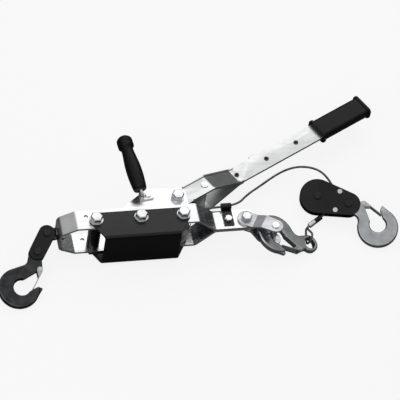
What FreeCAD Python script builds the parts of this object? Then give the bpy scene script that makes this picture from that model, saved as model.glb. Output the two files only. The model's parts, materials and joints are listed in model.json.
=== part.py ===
import FreeCAD, Part
import Sketcher
import math
import os
import re

from FreeCAD import Placement, Rotation, Vector

# Come along winch: a flat steel frame round a ratchet drum, a forked hand
# lever, a guard cover, a side grip, three latch hooks and a snatch block.
# Millimetres. The frame lies flat: X runs along the frame towards the block,
# Y points away from the guard cover, Z is up and square to the frame plates.
# While it is built, the drum axle is at X = Y = 0 and the floor at Z = 0.

os.makedirs("parts", exist_ok=True)
document = FreeCAD.newDocument("ComeAlongWinch")
sheet = document.addObject("Spreadsheet::Sheet", "Sizes")

# Driving dimensions
sizes = {
    # Clearances
    "running_gap": 0.05,
    "bolt_gap": 0.15,
    "side_gap": 0.5,
    "loose_gap": 0.4,
    # Frame strap
    "strap_width": 50.0,
    "strap_thick": 5.0,
    "plate_gap": 74.0,
    "strap_bend_radius": 9.0,
    "plate_left": 229.0,
    "plate_right": 35.0,
    "nose_run": 35.5,
    "nose_drop": 17.0,
    "neck_run": 40.0,
    "neck_drop": 32.0,
    "neck_seam": 0.3,
    "axle_beyond_strap": 20.0,
    "hump_left": 126.0,
    "hump_shoulder": 66.0,
    "hump_far": 27.0,
    "hump_right": 20.0,
    "hump_corner": 20.0,
    "spare_hole_radius": 4.5,
    "spare_hole_left": 207.5,
    "spare_hole_from_edge": 33.0,
    # Through bolts of the frame
    "frame_bolt_radius": 8.0,
    "frame_bolt_hex": 13.9,
    "hex_height": 11.0,
    "washer_radius": 15.0,
    "washer_thick": 2.5,
    "bolt_from_edge": 20.0,
    "bolt_a_left": 187.0,
    "bolt_b_left": 89.0,
    "bolt_c_right": 4.0,
    "roller_radius": 14.0,
    "sleeve_radius": 11.5,
    # Guard cover
    "cover_thick": 3.0,
    "cover_bend_radius": 5.0,
    "cover_left": 173.0,
    "cover_right": 10.0,
    "cover_web_out": 32.0,
    "cover_flange_in": 40.0,
    "cover_ear_left": 200.0,
    "cover_ear_right": 17.0,
    # Drum, gears and rope
    "drum_radius": 16.0,
    "drum_bore_wall": 4.0,
    "gear_tip_radius": 32.0,
    "gear_root_radius": 26.5,
    "gear_thick": 6.0,
    "gear_teeth": 12,
    "rope_radius": 2.5,
    "rope_layer_thick": 4.2,
    "rope_turns": 6.5,
    "rope_pitch": 5.55,
    "rope_exit_height": 75.5,
    # Lever
    "lever_angle": 28.5,
    "lever_width": 43.0,
    "lever_thick": 3.0,
    "fork_outside": 67.0,
    "fork_level": 88.0,
    "fork_slope": 76.0,
    "lever_reach": 536.0,
    "lever_rib_height": 3.0,
    "lever_rib_width": 3.0,
    "lever_rib_start": 30.0,
    "lever_bend_radius": 8.0,
    "rivet_radius": 3.2,
    "rivet_head_radius": 5.4,
    "rivet_head_height": 1.4,
    "rivet_bore_radius": 2.0,
    "rivet_first": 172.0,
    "rivet_pitch": 85.0,
    "grip_start": 402.0,
    "grip_width": 50.0,
    "grip_height": 24.0,
    "grip_flange_width": 56.0,
    "grip_flange_height": 30.0,
    "grip_flange_length": 7.0,
    "grip_overhang": 3.0,
    # Pawls
    "pawl_thick": 8.0,
    "pawl_hub_radius": 9.0,
    "pawl_pin_radius": 5.0,
    "pawl_pin_head_radius": 8.0,
    "pawl_pin_head_height": 2.2,
    "drive_pin_reach": 76.0,
    "drive_pawl_reach": 47.0,
    "drive_pawl_turn": 20.0,
    "spring_wire_radius": 0.9,
    # Side handle
    "handle_root_left": 82.0,
    "handle_root_far": 9.0,
    "handle_turn": 8.0,
    "handle_rise": 10.0,
    "handle_axis_height": 19.5,
    "handle_base_gap": 2.5,
    "handle_rivet_aside": 17.3,
    "handle_rivet_along": -3.5,
    "handle_rivet_radius": 4.0,
    "handle_rivet_head": 6.5,
    "handle_grip_length": 134.0,
    "handle_bar_width": 12.0,
    "handle_bar_thick": 5.0,
    "handle_foot_length": 30.0,
    "handle_foot_width": 24.0,
    "handle_foot_thick": 4.0,
    "handle_base_radius": 14.0,
    "handle_belly_radius": 17.3,
    "handle_neck_radius": 13.0,
    "handle_tang_length": 70.0,
    "handle_bore_radius": 6.7,
    "handle_end_radius": 17.5,
    # Swivel and links at the nose
    "swivel_shank_radius": 9.0,
    "swivel_head_radius": 14.0,
    "swivel_head_length": 9.0,
    "swivel_collar_radius": 13.0,
    "swivel_collar_length": 4.0,
    "swivel_reach": 23.5,
    "swivel_eye_radius": 12.5,
    "link_thick": 4.0,
    "link_radius": 18.0,
    "link_pitch": 48.0,
    "link_angle": 122.0,
    "link_pin_radius": 5.0,
    "link_pin_head_radius": 8.0,
    "link_pin_head_height": 4.0,
    # Hooks
    "hook_thick": 14.0,
    "hook_outer_radius": 45.0,
    "hook_inner_radius": 18.0,
    "hook_inner_back": 4.0,
    "hook_inner_aside": 5.0,
    "hook_eye_radius": 17.0,
    "hook_edge": 2.5,
    "frame_hook_reach": 90.0,
    "block_hook_reach": 82.0,
    "cable_hook_reach": 84.0,
    "cable_eye_radius": 20.5,
    "cable_eye_bore": 13.0,
    "cable_hook_heading": 5.8,
    "cable_hook_dip": 22.5,
    "cable_hook_roll": 8.0,
    "cable_hook_seat": 8.5,
    "rope_eye_radius": 11.0,
    "latch_thick": 1.6,
    "latch_pin_radius": 2.2,
    "latch_pin_head": 3.8,
    "latch_back": 57.0,
    "latch_aside": 22.0,
    "latch_lug_radius": 6.5,
    # Rope guide
    "guide_right": 107.0,
    "guide_from_edge": 23.0,
    "guide_width": 22.0,
    "guide_thick": 3.0,
    "guide_eye_radius": 4.0,
    "guide_bolt_radius": 5.0,
    "guide_bolt_hex": 9.2,
    "guide_hex_height": 7.0,
    # Anchor arms
    "anchor_right": 147.0,
    "anchor_from_edge": 22.0,
    "anchor_bolt_radius": 7.0,
    "anchor_bolt_hex": 12.2,
    "anchor_hex_height": 9.0,
    "anchor_angle": 31.0,
    "anchor_pitch": 66.0,
    "anchor_radius": 20.0,
    "anchor_tip_radius": 17.0,
    "anchor_level": 20.0,
    "anchor_slope": 20.0,
    "anchor_rise": 10.0,
    "anchor_fall": 20.0,
    "anchor_thick": 5.0,
    "anchor_gap": 0.1,
    "anchor_pin_radius": 6.0,
    "anchor_pin_head_radius": 8.0,
    "anchor_pin_head_height": 3.0,
    # Snatch block
    "block_right": 325.0,
    "block_far": 26.0,
    "block_turn": 23.0,
    "block_tilt": 22.0,
    "block_pitch": 70.0,
    "block_radius": 39.0,
    "block_small_radius": 26.0,
    "block_plate_thick": 3.0,
    "block_gap": 15.0,
    "block_hook_turn": 25.0,
    "sheave_radius": 33.0,
    "sheave_width": 13.0,
    "sheave_groove_radius": 28.0,
    "block_pin_radius": 6.0,
    "block_pin_head_radius": 8.0,
    "block_pin_head_height": 4.0,
    "block_spacer_along": 45.0,
    "block_spacer_aside": 22.0,
    "block_spacer_radius": 3.5,
    "block_spacer_head_radius": 5.5,
    "block_spacer_head_height": 2.0,
    # Rope end
    "ferrule_radius": 5.6,
    "ferrule_length": 17.0,
}
for row, (name, value) in enumerate(sizes.items(), start=1):
    sheet.set("A%d" % row, name)
    sheet.set("B%d" % row, str(value))
    sheet.setAlias("B%d" % row, name)
document.recompute()


def size(name):
    """The number in the sheet cell with this alias."""
    return float(getattr(sheet, name))


sub_parts = []


def keep(piece, label, placement=None):
    """Names a finished sub-part and puts it in place."""
    piece.Label = label
    if placement is not None:
        piece.Placement = placement
    sub_parts.append(piece)
    return piece


def shaped(label, shape, placement=None):
    """A sub-part whose outline or bends need arcs worked out from the sheet."""
    piece = document.addObject("Part::Feature", label)
    piece.Shape = shape
    return keep(piece, label, placement)


# Parametric primitives bound to the sheet

def cells(text):
    """An expression on the sheet: every lower case name becomes a cell."""
    return re.sub(r"\b[a-z]\w*\b(?!\()", lambda found: "Sizes." + found.group(0), text)


def size_of(text):
    """The value of an expression on the sheet, worked out from the same names."""
    probe = sheet.evalExpression(cells(text))
    return float(probe)


def bind(piece, **texts):
    for property_name, text in texts.items():
        piece.setExpression(property_name, cells(text))
    return piece


def upright(x, y, z):
    return Placement(Vector(x, y, z), Rotation())


def cylinder(radius, height, placement):
    piece = document.addObject("Part::Cylinder", "Round")
    bind(piece, Radius=radius, Height=height)
    piece.Placement = placement
    return piece


def hexagon(circumradius, height, placement):
    piece = document.addObject("Part::Prism", "Hex")
    piece.Polygon = 6
    bind(piece, Circumradius=circumradius, Height=height)
    piece.Placement = placement
    return piece


def fused(pieces):
    result = document.addObject("Part::MultiFuse", "Joined")
    result.Shapes = pieces
    return result


def drilled(base, tool):
    result = document.addObject("Part::Cut", "Drilled")
    result.Base = base
    result.Tool = tool
    return result


def grouped(pieces):
    result = document.addObject("Part::Compound", "Group")
    result.Links = pieces
    return result


# Sketched bodies: corners and circles are held by constraints bound to the sheet

def plane_of(body, role):
    for feature in body.Origin.OriginFeatures:
        if feature.Role == role:
            return feature
    raise RuntimeError("no plane " + role)


def sketch_on(body, role, name):
    sketch = body.newObject("Sketcher::SketchObject", name)
    sketch.AttachmentSupport = [(plane_of(body, role), "")]
    sketch.MapMode = "FlatFace"
    return sketch


def tie(sketch, constraint, text):
    index = sketch.addConstraint(constraint)
    sketch.setExpression("Constraints[%d]" % index, cells(text))


def sketch_corners(sketch, corners):
    """A closed outline of straight lines through corners given as expressions."""
    count = len(corners)
    first = sketch.GeometryCount
    for index in range(count):
        angle = 2 * math.pi * index / count
        following = 2 * math.pi * (index + 1) / count
        start = Vector(10 * math.cos(angle), 10 * math.sin(angle), 0)
        end = Vector(10 * math.cos(following), 10 * math.sin(following), 0)
        sketch.addGeometry(Part.LineSegment(start, end), False)
    for index in range(count):
        following = first + (index + 1) % count
        sketch.addConstraint(Sketcher.Constraint("Coincident", first + index, 2, following, 1))
    for index, (across, along) in enumerate(corners):
        line = first + index
        tie(sketch, Sketcher.Constraint("DistanceX", -1, 1, line, 1, 5.0), across)
        tie(sketch, Sketcher.Constraint("DistanceY", -1, 1, line, 1, 5.0), along)


def sketch_circle(sketch, across, along, radius):
    index = sketch.GeometryCount
    sketch.addGeometry(Part.Circle(Vector(1, 1, 0), Vector(0, 0, 1), 3.0), False)
    tie(sketch, Sketcher.Constraint("Radius", index, 3.0), radius)
    tie(sketch, Sketcher.Constraint("DistanceX", -1, 1, index, 3, 1.0), across)
    tie(sketch, Sketcher.Constraint("DistanceY", -1, 1, index, 3, 1.0), along)


def padded_body(name, circles, thickness):
    """A round plate with a hole, padded up from Z = 0."""
    body = document.addObject("PartDesign::Body", name)
    sketch = sketch_on(body, "XY_Plane", name + "Outline")
    for across, along, radius in circles:
        sketch_circle(sketch, across, along, radius)
    pad = body.newObject("PartDesign::Pad", name + "Pad")
    pad.Profile = sketch
    bind(pad, Length=thickness)
    sketch.Visibility = False
    return body, pad


def turned_body(name, corners):
    """A turned piece: (radius, height) corners revolved about Z."""
    body = document.addObject("PartDesign::Body", name)
    sketch = sketch_on(body, "XZ_Plane", name + "Profile")
    sketch_corners(sketch, corners)
    turn = body.newObject("PartDesign::Revolution", name + "Turn")
    turn.Profile = sketch
    turn.ReferenceAxis = (sketch, ["V_Axis"])
    turn.Angle = 360.0
    sketch.Visibility = False
    return body


# Outlines worked out from corners

def rounded_wire(corners, radii, height=0.0):
    """A closed wire through 2D corners, each rounded by its own radius."""
    count = len(corners)
    points = [Vector(x, y, height) for x, y in corners]
    edges = []
    starts = []
    ends = []
    middles = []
    for index, corner in enumerate(points):
        radius = radii[index]
        to_last = (points[index - 1] - corner).normalize()
        to_next = (points[(index + 1) % count] - corner).normalize()
        if radius <= 0:
            starts.append(corner)
            ends.append(corner)
            middles.append(None)
            continue
        half_angle = to_last.getAngle(to_next) / 2
        reach = radius / math.tan(half_angle)
        toward_centre = (to_last + to_next).normalize()
        centre = corner + toward_centre * (radius / math.sin(half_angle))
        starts.append(corner + to_last * reach)
        ends.append(corner + to_next * reach)
        middles.append(centre - toward_centre * radius)
    for index in range(count):
        following = (index + 1) % count
        if middles[index] is not None:
            edges.append(Part.Arc(starts[index], middles[index], ends[index]).toShape())
        if (starts[following] - ends[index]).Length > 1e-6:
            edges.append(Part.LineSegment(ends[index], starts[following]).toShape())
    return Part.Wire(edges)


def slab(corners, radii, low, high):
    """A flat plate with rounded corners between two heights."""
    face = Part.Face(rounded_wire(corners, radii, low))
    return face.extrude(Vector(0, 0, high - low))


def disc(x, y, radius, low, high):
    return Part.makeCylinder(radius, high - low, Vector(x, y, low))


def stadium(reach, radius, far_radius, low, high):
    """A plate round two centres, at 0 and at reach along X, with tangent sides."""
    lean = math.asin((radius - far_radius) / reach)
    near_x = radius * math.sin(lean)
    near_y = radius * math.cos(lean)
    far_x = reach + far_radius * math.sin(lean)
    far_y = far_radius * math.cos(lean)
    near_left = Vector(near_x, near_y, low)
    near_right = Vector(near_x, -near_y, low)
    far_left = Vector(far_x, far_y, low)
    far_right = Vector(far_x, -far_y, low)
    edges = [
        Part.Arc(near_left, Vector(-radius, 0, low), near_right).toShape(),
        Part.LineSegment(near_right, far_right).toShape(),
        Part.Arc(far_right, Vector(reach + far_radius, 0, low), far_left).toShape(),
        Part.LineSegment(far_left, near_left).toShape(),
    ]
    return Part.Face(Part.Wire(edges)).extrude(Vector(0, 0, high - low))


def offset_corners(path, distance):
    """The open path moved sideways (left is positive), with mitred corners."""
    moved = []
    for index, (x, y) in enumerate(path):
        directions = []
        if index > 0:
            directions.append((x - path[index - 1][0], y - path[index - 1][1]))
        if index < len(path) - 1:
            directions.append((path[index + 1][0] - x, path[index + 1][1] - y))
        units = [(dx / math.hypot(dx, dy), dy / math.hypot(dx, dy)) for dx, dy in directions]
        normal_x = -sum(unit[1] for unit in units)
        normal_y = sum(unit[0] for unit in units)
        length = math.hypot(normal_x, normal_y)
        scale = distance * 2 / (length * length) if len(units) == 2 else distance / length
        moved.append((x + normal_x * scale, y + normal_y * scale))
    return moved


def bent_sheet(path, thickness, bend_radius, width):
    """Sheet bent along a path in X and Z, and width wide, from Y = 0 to width."""
    left = offset_corners(path, thickness / 2)
    right = offset_corners(path, -thickness / 2)
    left_radii = [0.0]
    right_radii = [0.0]
    for index in range(1, len(path) - 1):
        ax = path[index][0] - path[index - 1][0]
        ay = path[index][1] - path[index - 1][1]
        bx = path[index + 1][0] - path[index][0]
        by = path[index + 1][1] - path[index][1]
        turns_left = ax * by - ay * bx > 0
        left_radii.append(bend_radius if turns_left else bend_radius + thickness)
        right_radii.append(bend_radius + thickness if turns_left else bend_radius)
    left_radii.append(0.0)
    right_radii.append(0.0)
    corners = left + right[::-1]
    radii = left_radii + right_radii[::-1]
    outline = rounded_wire(corners, radii)
    solid = Part.Face(outline).extrude(Vector(0, 0, width))
    solid.rotate(Vector(0, 0, 0), Vector(1, 0, 0), 90)
    solid.translate(Vector(0, width, 0))
    return solid


# Tubes of rope

def arc_between(start, control, end):
    """The arc tangent to start-control and control-end, both of equal length."""
    chord = end - start
    middle = (start + end) * 0.5
    half_turn = math.acos(min(1.0, chord.Length / 2 / (control - start).Length))
    sagitta = chord.Length / 2 * math.tan(half_turn / 2)
    return Part.Arc(start, middle + (control - middle).normalize() * sagitta, end).toShape()


def biarc(start, start_way, end, end_way):
    """Two tangent arcs from one point and direction to another."""
    gap = end - start
    both = start_way + end_way
    spread = 2 * (1 - start_way.dot(end_way))
    along = gap.dot(both)
    reach = (math.sqrt(along * along + spread * gap.dot(gap)) - along) / spread
    first = start + start_way * reach
    second = end - end_way * reach
    joint = (first + second) * 0.5
    return [arc_between(start, first, joint), arc_between(joint, second, end)]


def tube(edges, radius, start, way):
    """A round tube along the edges, its section square to the first one."""
    section = Part.Wire([Part.Circle(start, way, radius).toShape()])
    return Part.Wire(edges).makePipeShell([section], True, False)


def routed_edges(points, name):
    """Straight runs through the points, joined by arcs as large as the runs allow."""
    edges = []
    last = points[0]
    for index in range(1, len(points) - 1):
        corner = points[index]
        inward = (points[index - 1] - corner)
        outward = (points[index + 1] - corner)
        run = min(inward.Length, outward.Length)
        half_turn = (math.pi - inward.getAngle(outward)) / 2
        reach = 0.45 * run
        print(name, "arc radius", round(reach / math.tan(half_turn), 1))
        start = corner + inward.normalize() * reach
        end = corner + outward.normalize() * reach
        edges.append(Part.LineSegment(last, start).toShape())
        edges.append(arc_between(start, corner, end))
        last = end
    edges.append(Part.LineSegment(last, points[-1]).toShape())
    return edges


def coil_edges(radius, pitch, turns, last_angle, last_height):
    """A right-handed coil about Z that ends at the given angle and height."""
    steps = int(math.ceil(turns * 4))
    edges = []
    frames = []
    for step in range(steps + 1):
        turned = turns * (step / steps - 1)
        angle = math.radians(last_angle + 360 * turned)
        point = Vector(radius * math.cos(angle), radius * math.sin(angle), last_height + pitch * turned)
        climb = pitch / (2 * math.pi * radius)
        way = Vector(-math.sin(angle), math.cos(angle), climb).normalize()
        frames.append((point, way))
    for (start, start_way), (end, end_way) in zip(frames, frames[1:]):
        edges += biarc(start, start_way, end, end_way)
    return edges, frames[0], frames[-1]


def least_gap(edges, wire_radius, turn_length):
    """The smallest space between one turn and another, on sampled points."""
    samples = []
    travelled = 0.0
    for edge in edges:
        first, last = edge.ParameterRange
        for index in range(6):
            share = index / 6
            samples.append((travelled + share * edge.Length, edge.valueAt(first + share * (last - first))))
        travelled += edge.Length
    gap = 1e9
    for index, (here, point) in enumerate(samples):
        for there, other in samples[index + 1:]:
            if there - here > turn_length / 2:
                gap = min(gap, (point - other).Length - 2 * wire_radius)
    return gap


def report_tube(name, shape, edges, radius):
    length = sum(edge.Length for edge in edges)
    expected = math.pi * radius * radius * length
    print(name, "length", round(length, 1), "volume", round(shape.Volume), "of", round(expected))


# Derived places

lower_outer = size("hex_height") + size("washer_thick") + size("cover_thick")
lower_inner = lower_outer + size("strap_thick")
upper_inner = lower_inner + size("plate_gap")
upper_outer = upper_inner + size("strap_thick")
middle = (lower_inner + upper_inner) / 2
strap_far = -size("axle_beyond_strap")
strap_near = strap_far - size("strap_width")
strap_centre = (strap_far + strap_near) / 2
bolt_row = strap_near + size("bolt_from_edge")
lever_centre = middle
fork_top = middle + size("fork_outside") / 2
fork_low = middle - size("fork_outside") / 2
drum_low = fork_low + size("lever_thick") + size("side_gap")
drum_height = size("fork_outside") - 2 * size("lever_thick") - 2 * size("side_gap")
gear_top_low = drum_low + drum_height - size("gear_thick")
neck_upper = upper_outer - size("strap_thick") / 2 - size("neck_drop")
neck_lower = neck_upper - size("strap_thick") - size("neck_seam")
neck_top = neck_upper + size("strap_thick") / 2
neck_bottom = neck_lower - size("strap_thick") / 2
neck_start = size("plate_right") + size("neck_run")
neck_end = size("anchor_right") + size("strap_width") / 2
nose_wall = size("plate_left") + size("nose_run")
nose_outer = -nose_wall - size("strap_thick") / 2
frame_bolts_at = [
    (-size("bolt_a_left"), bolt_row),
    (-size("bolt_b_left"), bolt_row),
    (size("bolt_c_right"), bolt_row),
]
bolt_hole = size("frame_bolt_radius") + size("bolt_gap")
guide_row = strap_near + size("guide_from_edge")
anchor_row = strap_near + size("anchor_from_edge")


# Frame: one strap bent round the nose, with its two ends lapped as the neck

def frame_strap():
    low = lower_outer + size("strap_thick") / 2
    high = upper_outer - size("strap_thick") / 2
    path = [
        (neck_end, neck_lower),
        (neck_start, neck_lower),
        (size("plate_right"), low),
        (-size("plate_left"), low),
        (-nose_wall, low + size("nose_drop")),
        (-nose_wall, high - size("nose_drop")),
        (-size("plate_left"), high),
        (size("plate_right"), high),
        (neck_start, neck_upper),
        (neck_end, neck_upper),
    ]
    strap = bent_sheet(path[::-1], size("strap_thick"), size("strap_bend_radius"), size("strap_width"))
    strap.translate(Vector(0, strap_near, 0))
    inset = size("strap_width") / 3
    hump = [
        (-size("hump_left") - 6, strap_far - inset),
        (-size("hump_left"), strap_far),
        (-size("hump_shoulder"), size("hump_far")),
        (size("hump_right"), size("hump_far")),
        (size("hump_right"), strap_far),
        (size("hump_right") + 6, strap_far - inset),
    ]
    radii = [0, 8, size("hump_corner"), size("hump_corner"), 4, 0]
    strap = strap.fuse([
        slab(hump, radii, lower_outer, lower_inner),
        slab(hump, radii, upper_inner, upper_outer),
    ]).removeSplitter()
    half = size("strap_width") / 2
    end_block = Part.makeBox(half + 5, 2 * half + 10, 60,
                             Vector(neck_end - half, strap_near - 5, neck_bottom - 20))
    end_round = disc(neck_end - half, strap_centre, half, neck_bottom - 21, neck_bottom + 41)
    holes = [disc(x, y, bolt_hole, 0, upper_outer + 5) for x, y in frame_bolts_at]
    holes.append(disc(0, 0, bolt_hole, 0, upper_outer + 5))
    holes.append(disc(-size("spare_hole_left"), strap_near + size("spare_hole_from_edge"),
                      size("spare_hole_radius"), 0, upper_outer + 5))
    holes.append(disc(size("guide_right"), guide_row, size("guide_bolt_radius") + size("bolt_gap"),
                      0, upper_outer + 5))
    holes.append(disc(size("anchor_right"), anchor_row, size("anchor_bolt_radius") + size("bolt_gap"),
                      0, upper_outer + 5))
    rivet_x, rivet_y = handle_point(size("handle_rivet_aside"), size("handle_rivet_along"))
    holes.append(disc(rivet_x, rivet_y, size("handle_rivet_radius"), upper_inner - 1, upper_outer + 1))
    nose_hole = Part.makeCylinder(size("swivel_shank_radius") + size("running_gap"), 20,
                                  Vector(nose_outer - 5, strap_centre, middle), Vector(1, 0, 0))
    return strap.cut([end_block.cut(end_round), nose_hole] + holes)


# Side handle places: X across, Y along the handle, Z up from the frame plate

handle_frame = Placement(
    Vector(-size("handle_root_left"), size("handle_root_far"), upper_outer),
    Rotation(Vector(0, 0, 1), size("handle_turn")))


def handle_point(aside, along):
    point = handle_frame.multVec(Vector(aside, along, 0))
    return point.x, point.y


shaped("frame_strap", frame_strap())


def guard_cover():
    thick = size("cover_thick")
    low = lower_outer - thick / 2
    high = upper_outer + thick / 2
    web = strap_near - size("cover_web_out") + thick / 2
    flange_end = strap_near + size("cover_flange_in")
    path = [(flange_end, low), (web, low), (web, high), (flange_end, high)]
    length = size("cover_ear_left") + size("cover_ear_right")
    channel = bent_sheet(path, thick, size("cover_bend_radius"), length)
    channel.rotate(Vector(0, 0, 0), Vector(0, 0, 1), 90)
    channel.translate(Vector(size("cover_ear_right"), 0, 0))
    near = web - thick
    outline = [
        (-size("cover_left"), near),
        (-size("cover_right"), near),
        (size("cover_ear_right"), strap_near + 12),
        (size("cover_ear_right"), flange_end - 10),
        (size("cover_ear_right") - 14, flange_end),
        (-size("cover_ear_left") + 10, flange_end),
        (-size("cover_ear_left"), flange_end - 10),
        (-size("cover_ear_left"), strap_near + 14),
    ]
    blank = slab(outline, [0, 0, 6, 6, 6, 6, 6, 6], 0, upper_outer + 20)
    holes = [disc(x, y, bolt_hole, 0, upper_outer + 20) for x, y in frame_bolts_at]
    return channel.common(blank).cut(holes)


shaped("guard_cover", guard_cover())


# Frame fasteners

def bolt(x, y, tip, radius, reach, circumradius, head, head_height):
    """A hex bolt, head up, with its tip at the height tip and its head at head_height."""
    rod = cylinder(radius, reach, upright(x, y, tip))
    cap = hexagon(circumradius, head, upright(x, y, head_height))
    return fused([rod, cap])


def nut(x, y, low, radius, circumradius, height):
    return drilled(hexagon(circumradius, height, upright(x, y, low)),
                   cylinder(radius, height, upright(x, y, low)))


def ring(x, y, low, outer, inner, height):
    return drilled(cylinder(outer, height, upright(x, y, low)), cylinder(inner, height, upright(x, y, low)))


cover_stack = size("cover_thick") + size("washer_thick")
plate_stack = "2 * strap_thick + plate_gap"
through = "hex_height + 2 * washer_thick + 2 * cover_thick + " + plate_stack
axle_through = "hex_height + 2 * washer_thick + cover_thick + " + plate_stack
fit = "frame_bolt_radius + running_gap"

keep(grouped([
    bolt(x, y, 0, "frame_bolt_radius", through, "frame_bolt_hex", "hex_height", upper_outer + cover_stack)
    for x, y in frame_bolts_at]), "frame_bolts")
keep(grouped([
    nut(x, y, 0, "frame_bolt_radius", "frame_bolt_hex", "hex_height")
    for x, y in frame_bolts_at]), "frame_nuts")
keep(grouped([
    ring(x, y, low, "washer_radius", "frame_bolt_radius", "washer_thick")
    for x, y in frame_bolts_at for low in (size("hex_height"), upper_outer + size("cover_thick"))]),
    "frame_washers")
keep(bolt(0, 0, 0, "frame_bolt_radius", axle_through, "frame_bolt_hex", "hex_height",
          upper_outer + size("washer_thick")), "axle_bolt")
keep(nut(0, 0, 0, "frame_bolt_radius", "frame_bolt_hex", "hex_height"), "axle_nut")
keep(grouped([
    ring(0, 0, upper_outer, "washer_radius", "frame_bolt_radius", "washer_thick"),
    ring(0, 0, size("hex_height"), "washer_radius", "frame_bolt_radius", "washer_thick + cover_thick")]),
    "axle_washers")
keep(ring(frame_bolts_at[0][0], bolt_row, lower_inner, "roller_radius", "frame_bolt_radius", "plate_gap"),
     "spacer_barrel")
keep(grouped([
    ring(x, y, lower_inner, "sleeve_radius", "frame_bolt_radius", "plate_gap")
    for x, y in frame_bolts_at[1:]]), "spacer_sleeves")
thrust = "(plate_gap - fork_outside) / 2 - 2 * running_gap"
keep(grouped([
    ring(0, 0, lower_inner, "washer_radius", "frame_bolt_radius", thrust),
    ring(0, 0, fork_top + 2 * size("running_gap"), "washer_radius", "frame_bolt_radius", thrust)]),
    "thrust_washers")


# Drum, its ratchet gears and the rope on it

journal = "drum_radius - 3"
flank = "fork_outside - 2 * lever_thick - 2 * side_gap"
keep(turned_body("DrumBarrel", [
    (fit, "0"),
    (journal, "0"),
    (journal, "gear_thick"),
    ("drum_radius", "gear_thick"),
    ("drum_radius", flank + " - gear_thick"),
    (journal, flank + " - gear_thick"),
    (journal, flank),
    (fit, flank),
]), "drum_barrel", upright(0, 0, drum_low))


def ratchet_gear(name):
    """A disc with one sawtooth patterned round it; the steep faces look anticlockwise."""
    body, disc_pad = padded_body(name, [("0", "0", "gear_root_radius"), ("0", "0", journal)], "gear_thick")
    sketch = sketch_on(body, "XY_Plane", name + "Tooth")
    sketch_corners(sketch, [
        ("gear_root_radius - 2", "0"),
        ("gear_tip_radius", "0"),
        ("gear_tip_radius * cos(4)", "-gear_tip_radius * sin(4)"),
        ("gear_root_radius * cos(27)", "-gear_root_radius * sin(27)"),
        ("(gear_root_radius - 4) * cos(20)", "-(gear_root_radius - 4) * sin(20)"),
    ])
    tooth = body.newObject("PartDesign::Pad", name + "ToothPad")
    tooth.Profile = sketch
    bind(tooth, Length="gear_thick")
    sketch.Visibility = False
    pattern = body.newObject("PartDesign::PolarPattern", name + "Teeth")
    pattern.Originals = [tooth]
    pattern.Axis = (sketch, ["N_Axis"])
    pattern.Angle = 360.0
    pattern.Occurrences = int(size("gear_teeth"))
    body.Tip = pattern
    return body


# The stop pawl's pivot is bolt C; its end face stands square to the tooth that it holds.
pivot = Vector(size("bolt_c_right"), bolt_row, 0)
hold_radius = (size("gear_root_radius") + size("gear_tip_radius")) / 2
hold_turn = math.acos(hold_radius / pivot.Length) * 0.93
hold_angle = math.atan2(pivot.y, pivot.x) - hold_turn
hold_point = Vector(hold_radius * math.cos(hold_angle), hold_radius * math.sin(hold_angle), 0)
pawl_way = hold_point - pivot
pawl_reach = pawl_way.Length
pawl_angle = math.degrees(math.atan2(pawl_way.y, pawl_way.x))
gear_turn = Rotation(Vector(0, 0, 1), math.degrees(hold_angle))
keep(ratchet_gear("GearLower"), "ratchet_gear_lower", Placement(Vector(0, 0, drum_low), gear_turn))
keep(ratchet_gear("GearUpper"), "ratchet_gear_upper", Placement(Vector(0, 0, gear_top_low), gear_turn))

rope_bed = drum_low + size("gear_thick") + 0.5
keep(ring(0, 0, rope_bed, "drum_radius + rope_layer_thick", "drum_radius", flank + " - 2 * gear_thick - 1"),
     "rope_inner_layers")

rope_radius = size("rope_radius")
wind_radius = size("drum_radius") + size("rope_layer_thick") + 0.1 + rope_radius

# The free rope's points, from the drum through the guide eye and round to the block
rope_height = size("rope_exit_height")
first_point = Vector(58, -16.55, rope_height)
leaving = math.acos(wind_radius / math.hypot(first_point.x, first_point.y))
exit_angle = math.degrees(math.atan2(first_point.y, first_point.x) - leaving)
wind_edges, wind_first, wind_last = coil_edges(
    wind_radius, size("rope_pitch"), size("rope_turns"), exit_angle, rope_height)
tail = 2 * rope_radius
tail_start = wind_first[0] - wind_first[1] * tail
tail_end = wind_last[0] + wind_last[1] * tail
wind_edges = ([Part.LineSegment(tail_start, wind_first[0]).toShape()] + wind_edges
              + [Part.LineSegment(wind_last[0], tail_end).toShape()])
winding = tube(wind_edges, rope_radius, tail_start, wind_first[1])
print("winding least gap", round(least_gap(wind_edges[1:-1], rope_radius, 2 * math.pi * wind_radius), 2))
report_tube("winding", winding, wind_edges, rope_radius)
shaped("rope_winding", winding)


# Stop pawl: two arms on one tube round bolt C's sleeve

def stop_pawl():
    low = drum_low - 1
    high = drum_low + drum_height + 1
    arm_height = size("gear_thick") + 2
    inner = size("sleeve_radius") + size("running_gap")
    outer = inner + size("drum_bore_wall")
    face = pawl_reach - size("loose_gap")
    arm = [
        (0, -4),
        (inner + 8, -1.0),
        (face, -1.0),
        (face - 0.6, 5.5),
        (face - 14, 9),
        (0, outer - 1),
    ]
    arms = [slab(arm, [0] * len(arm), bottom, bottom + arm_height) for bottom in (low, high - arm_height)]
    pawl = disc(0, 0, outer, low, high).fuse(arms).removeSplitter()
    return pawl.cut(disc(0, 0, inner, low - 1, high + 1))


pawl_place = Placement(pivot, Rotation(Vector(0, 0, 1), pawl_angle))
shaped("stop_pawl", stop_pawl(), pawl_place)

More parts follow.
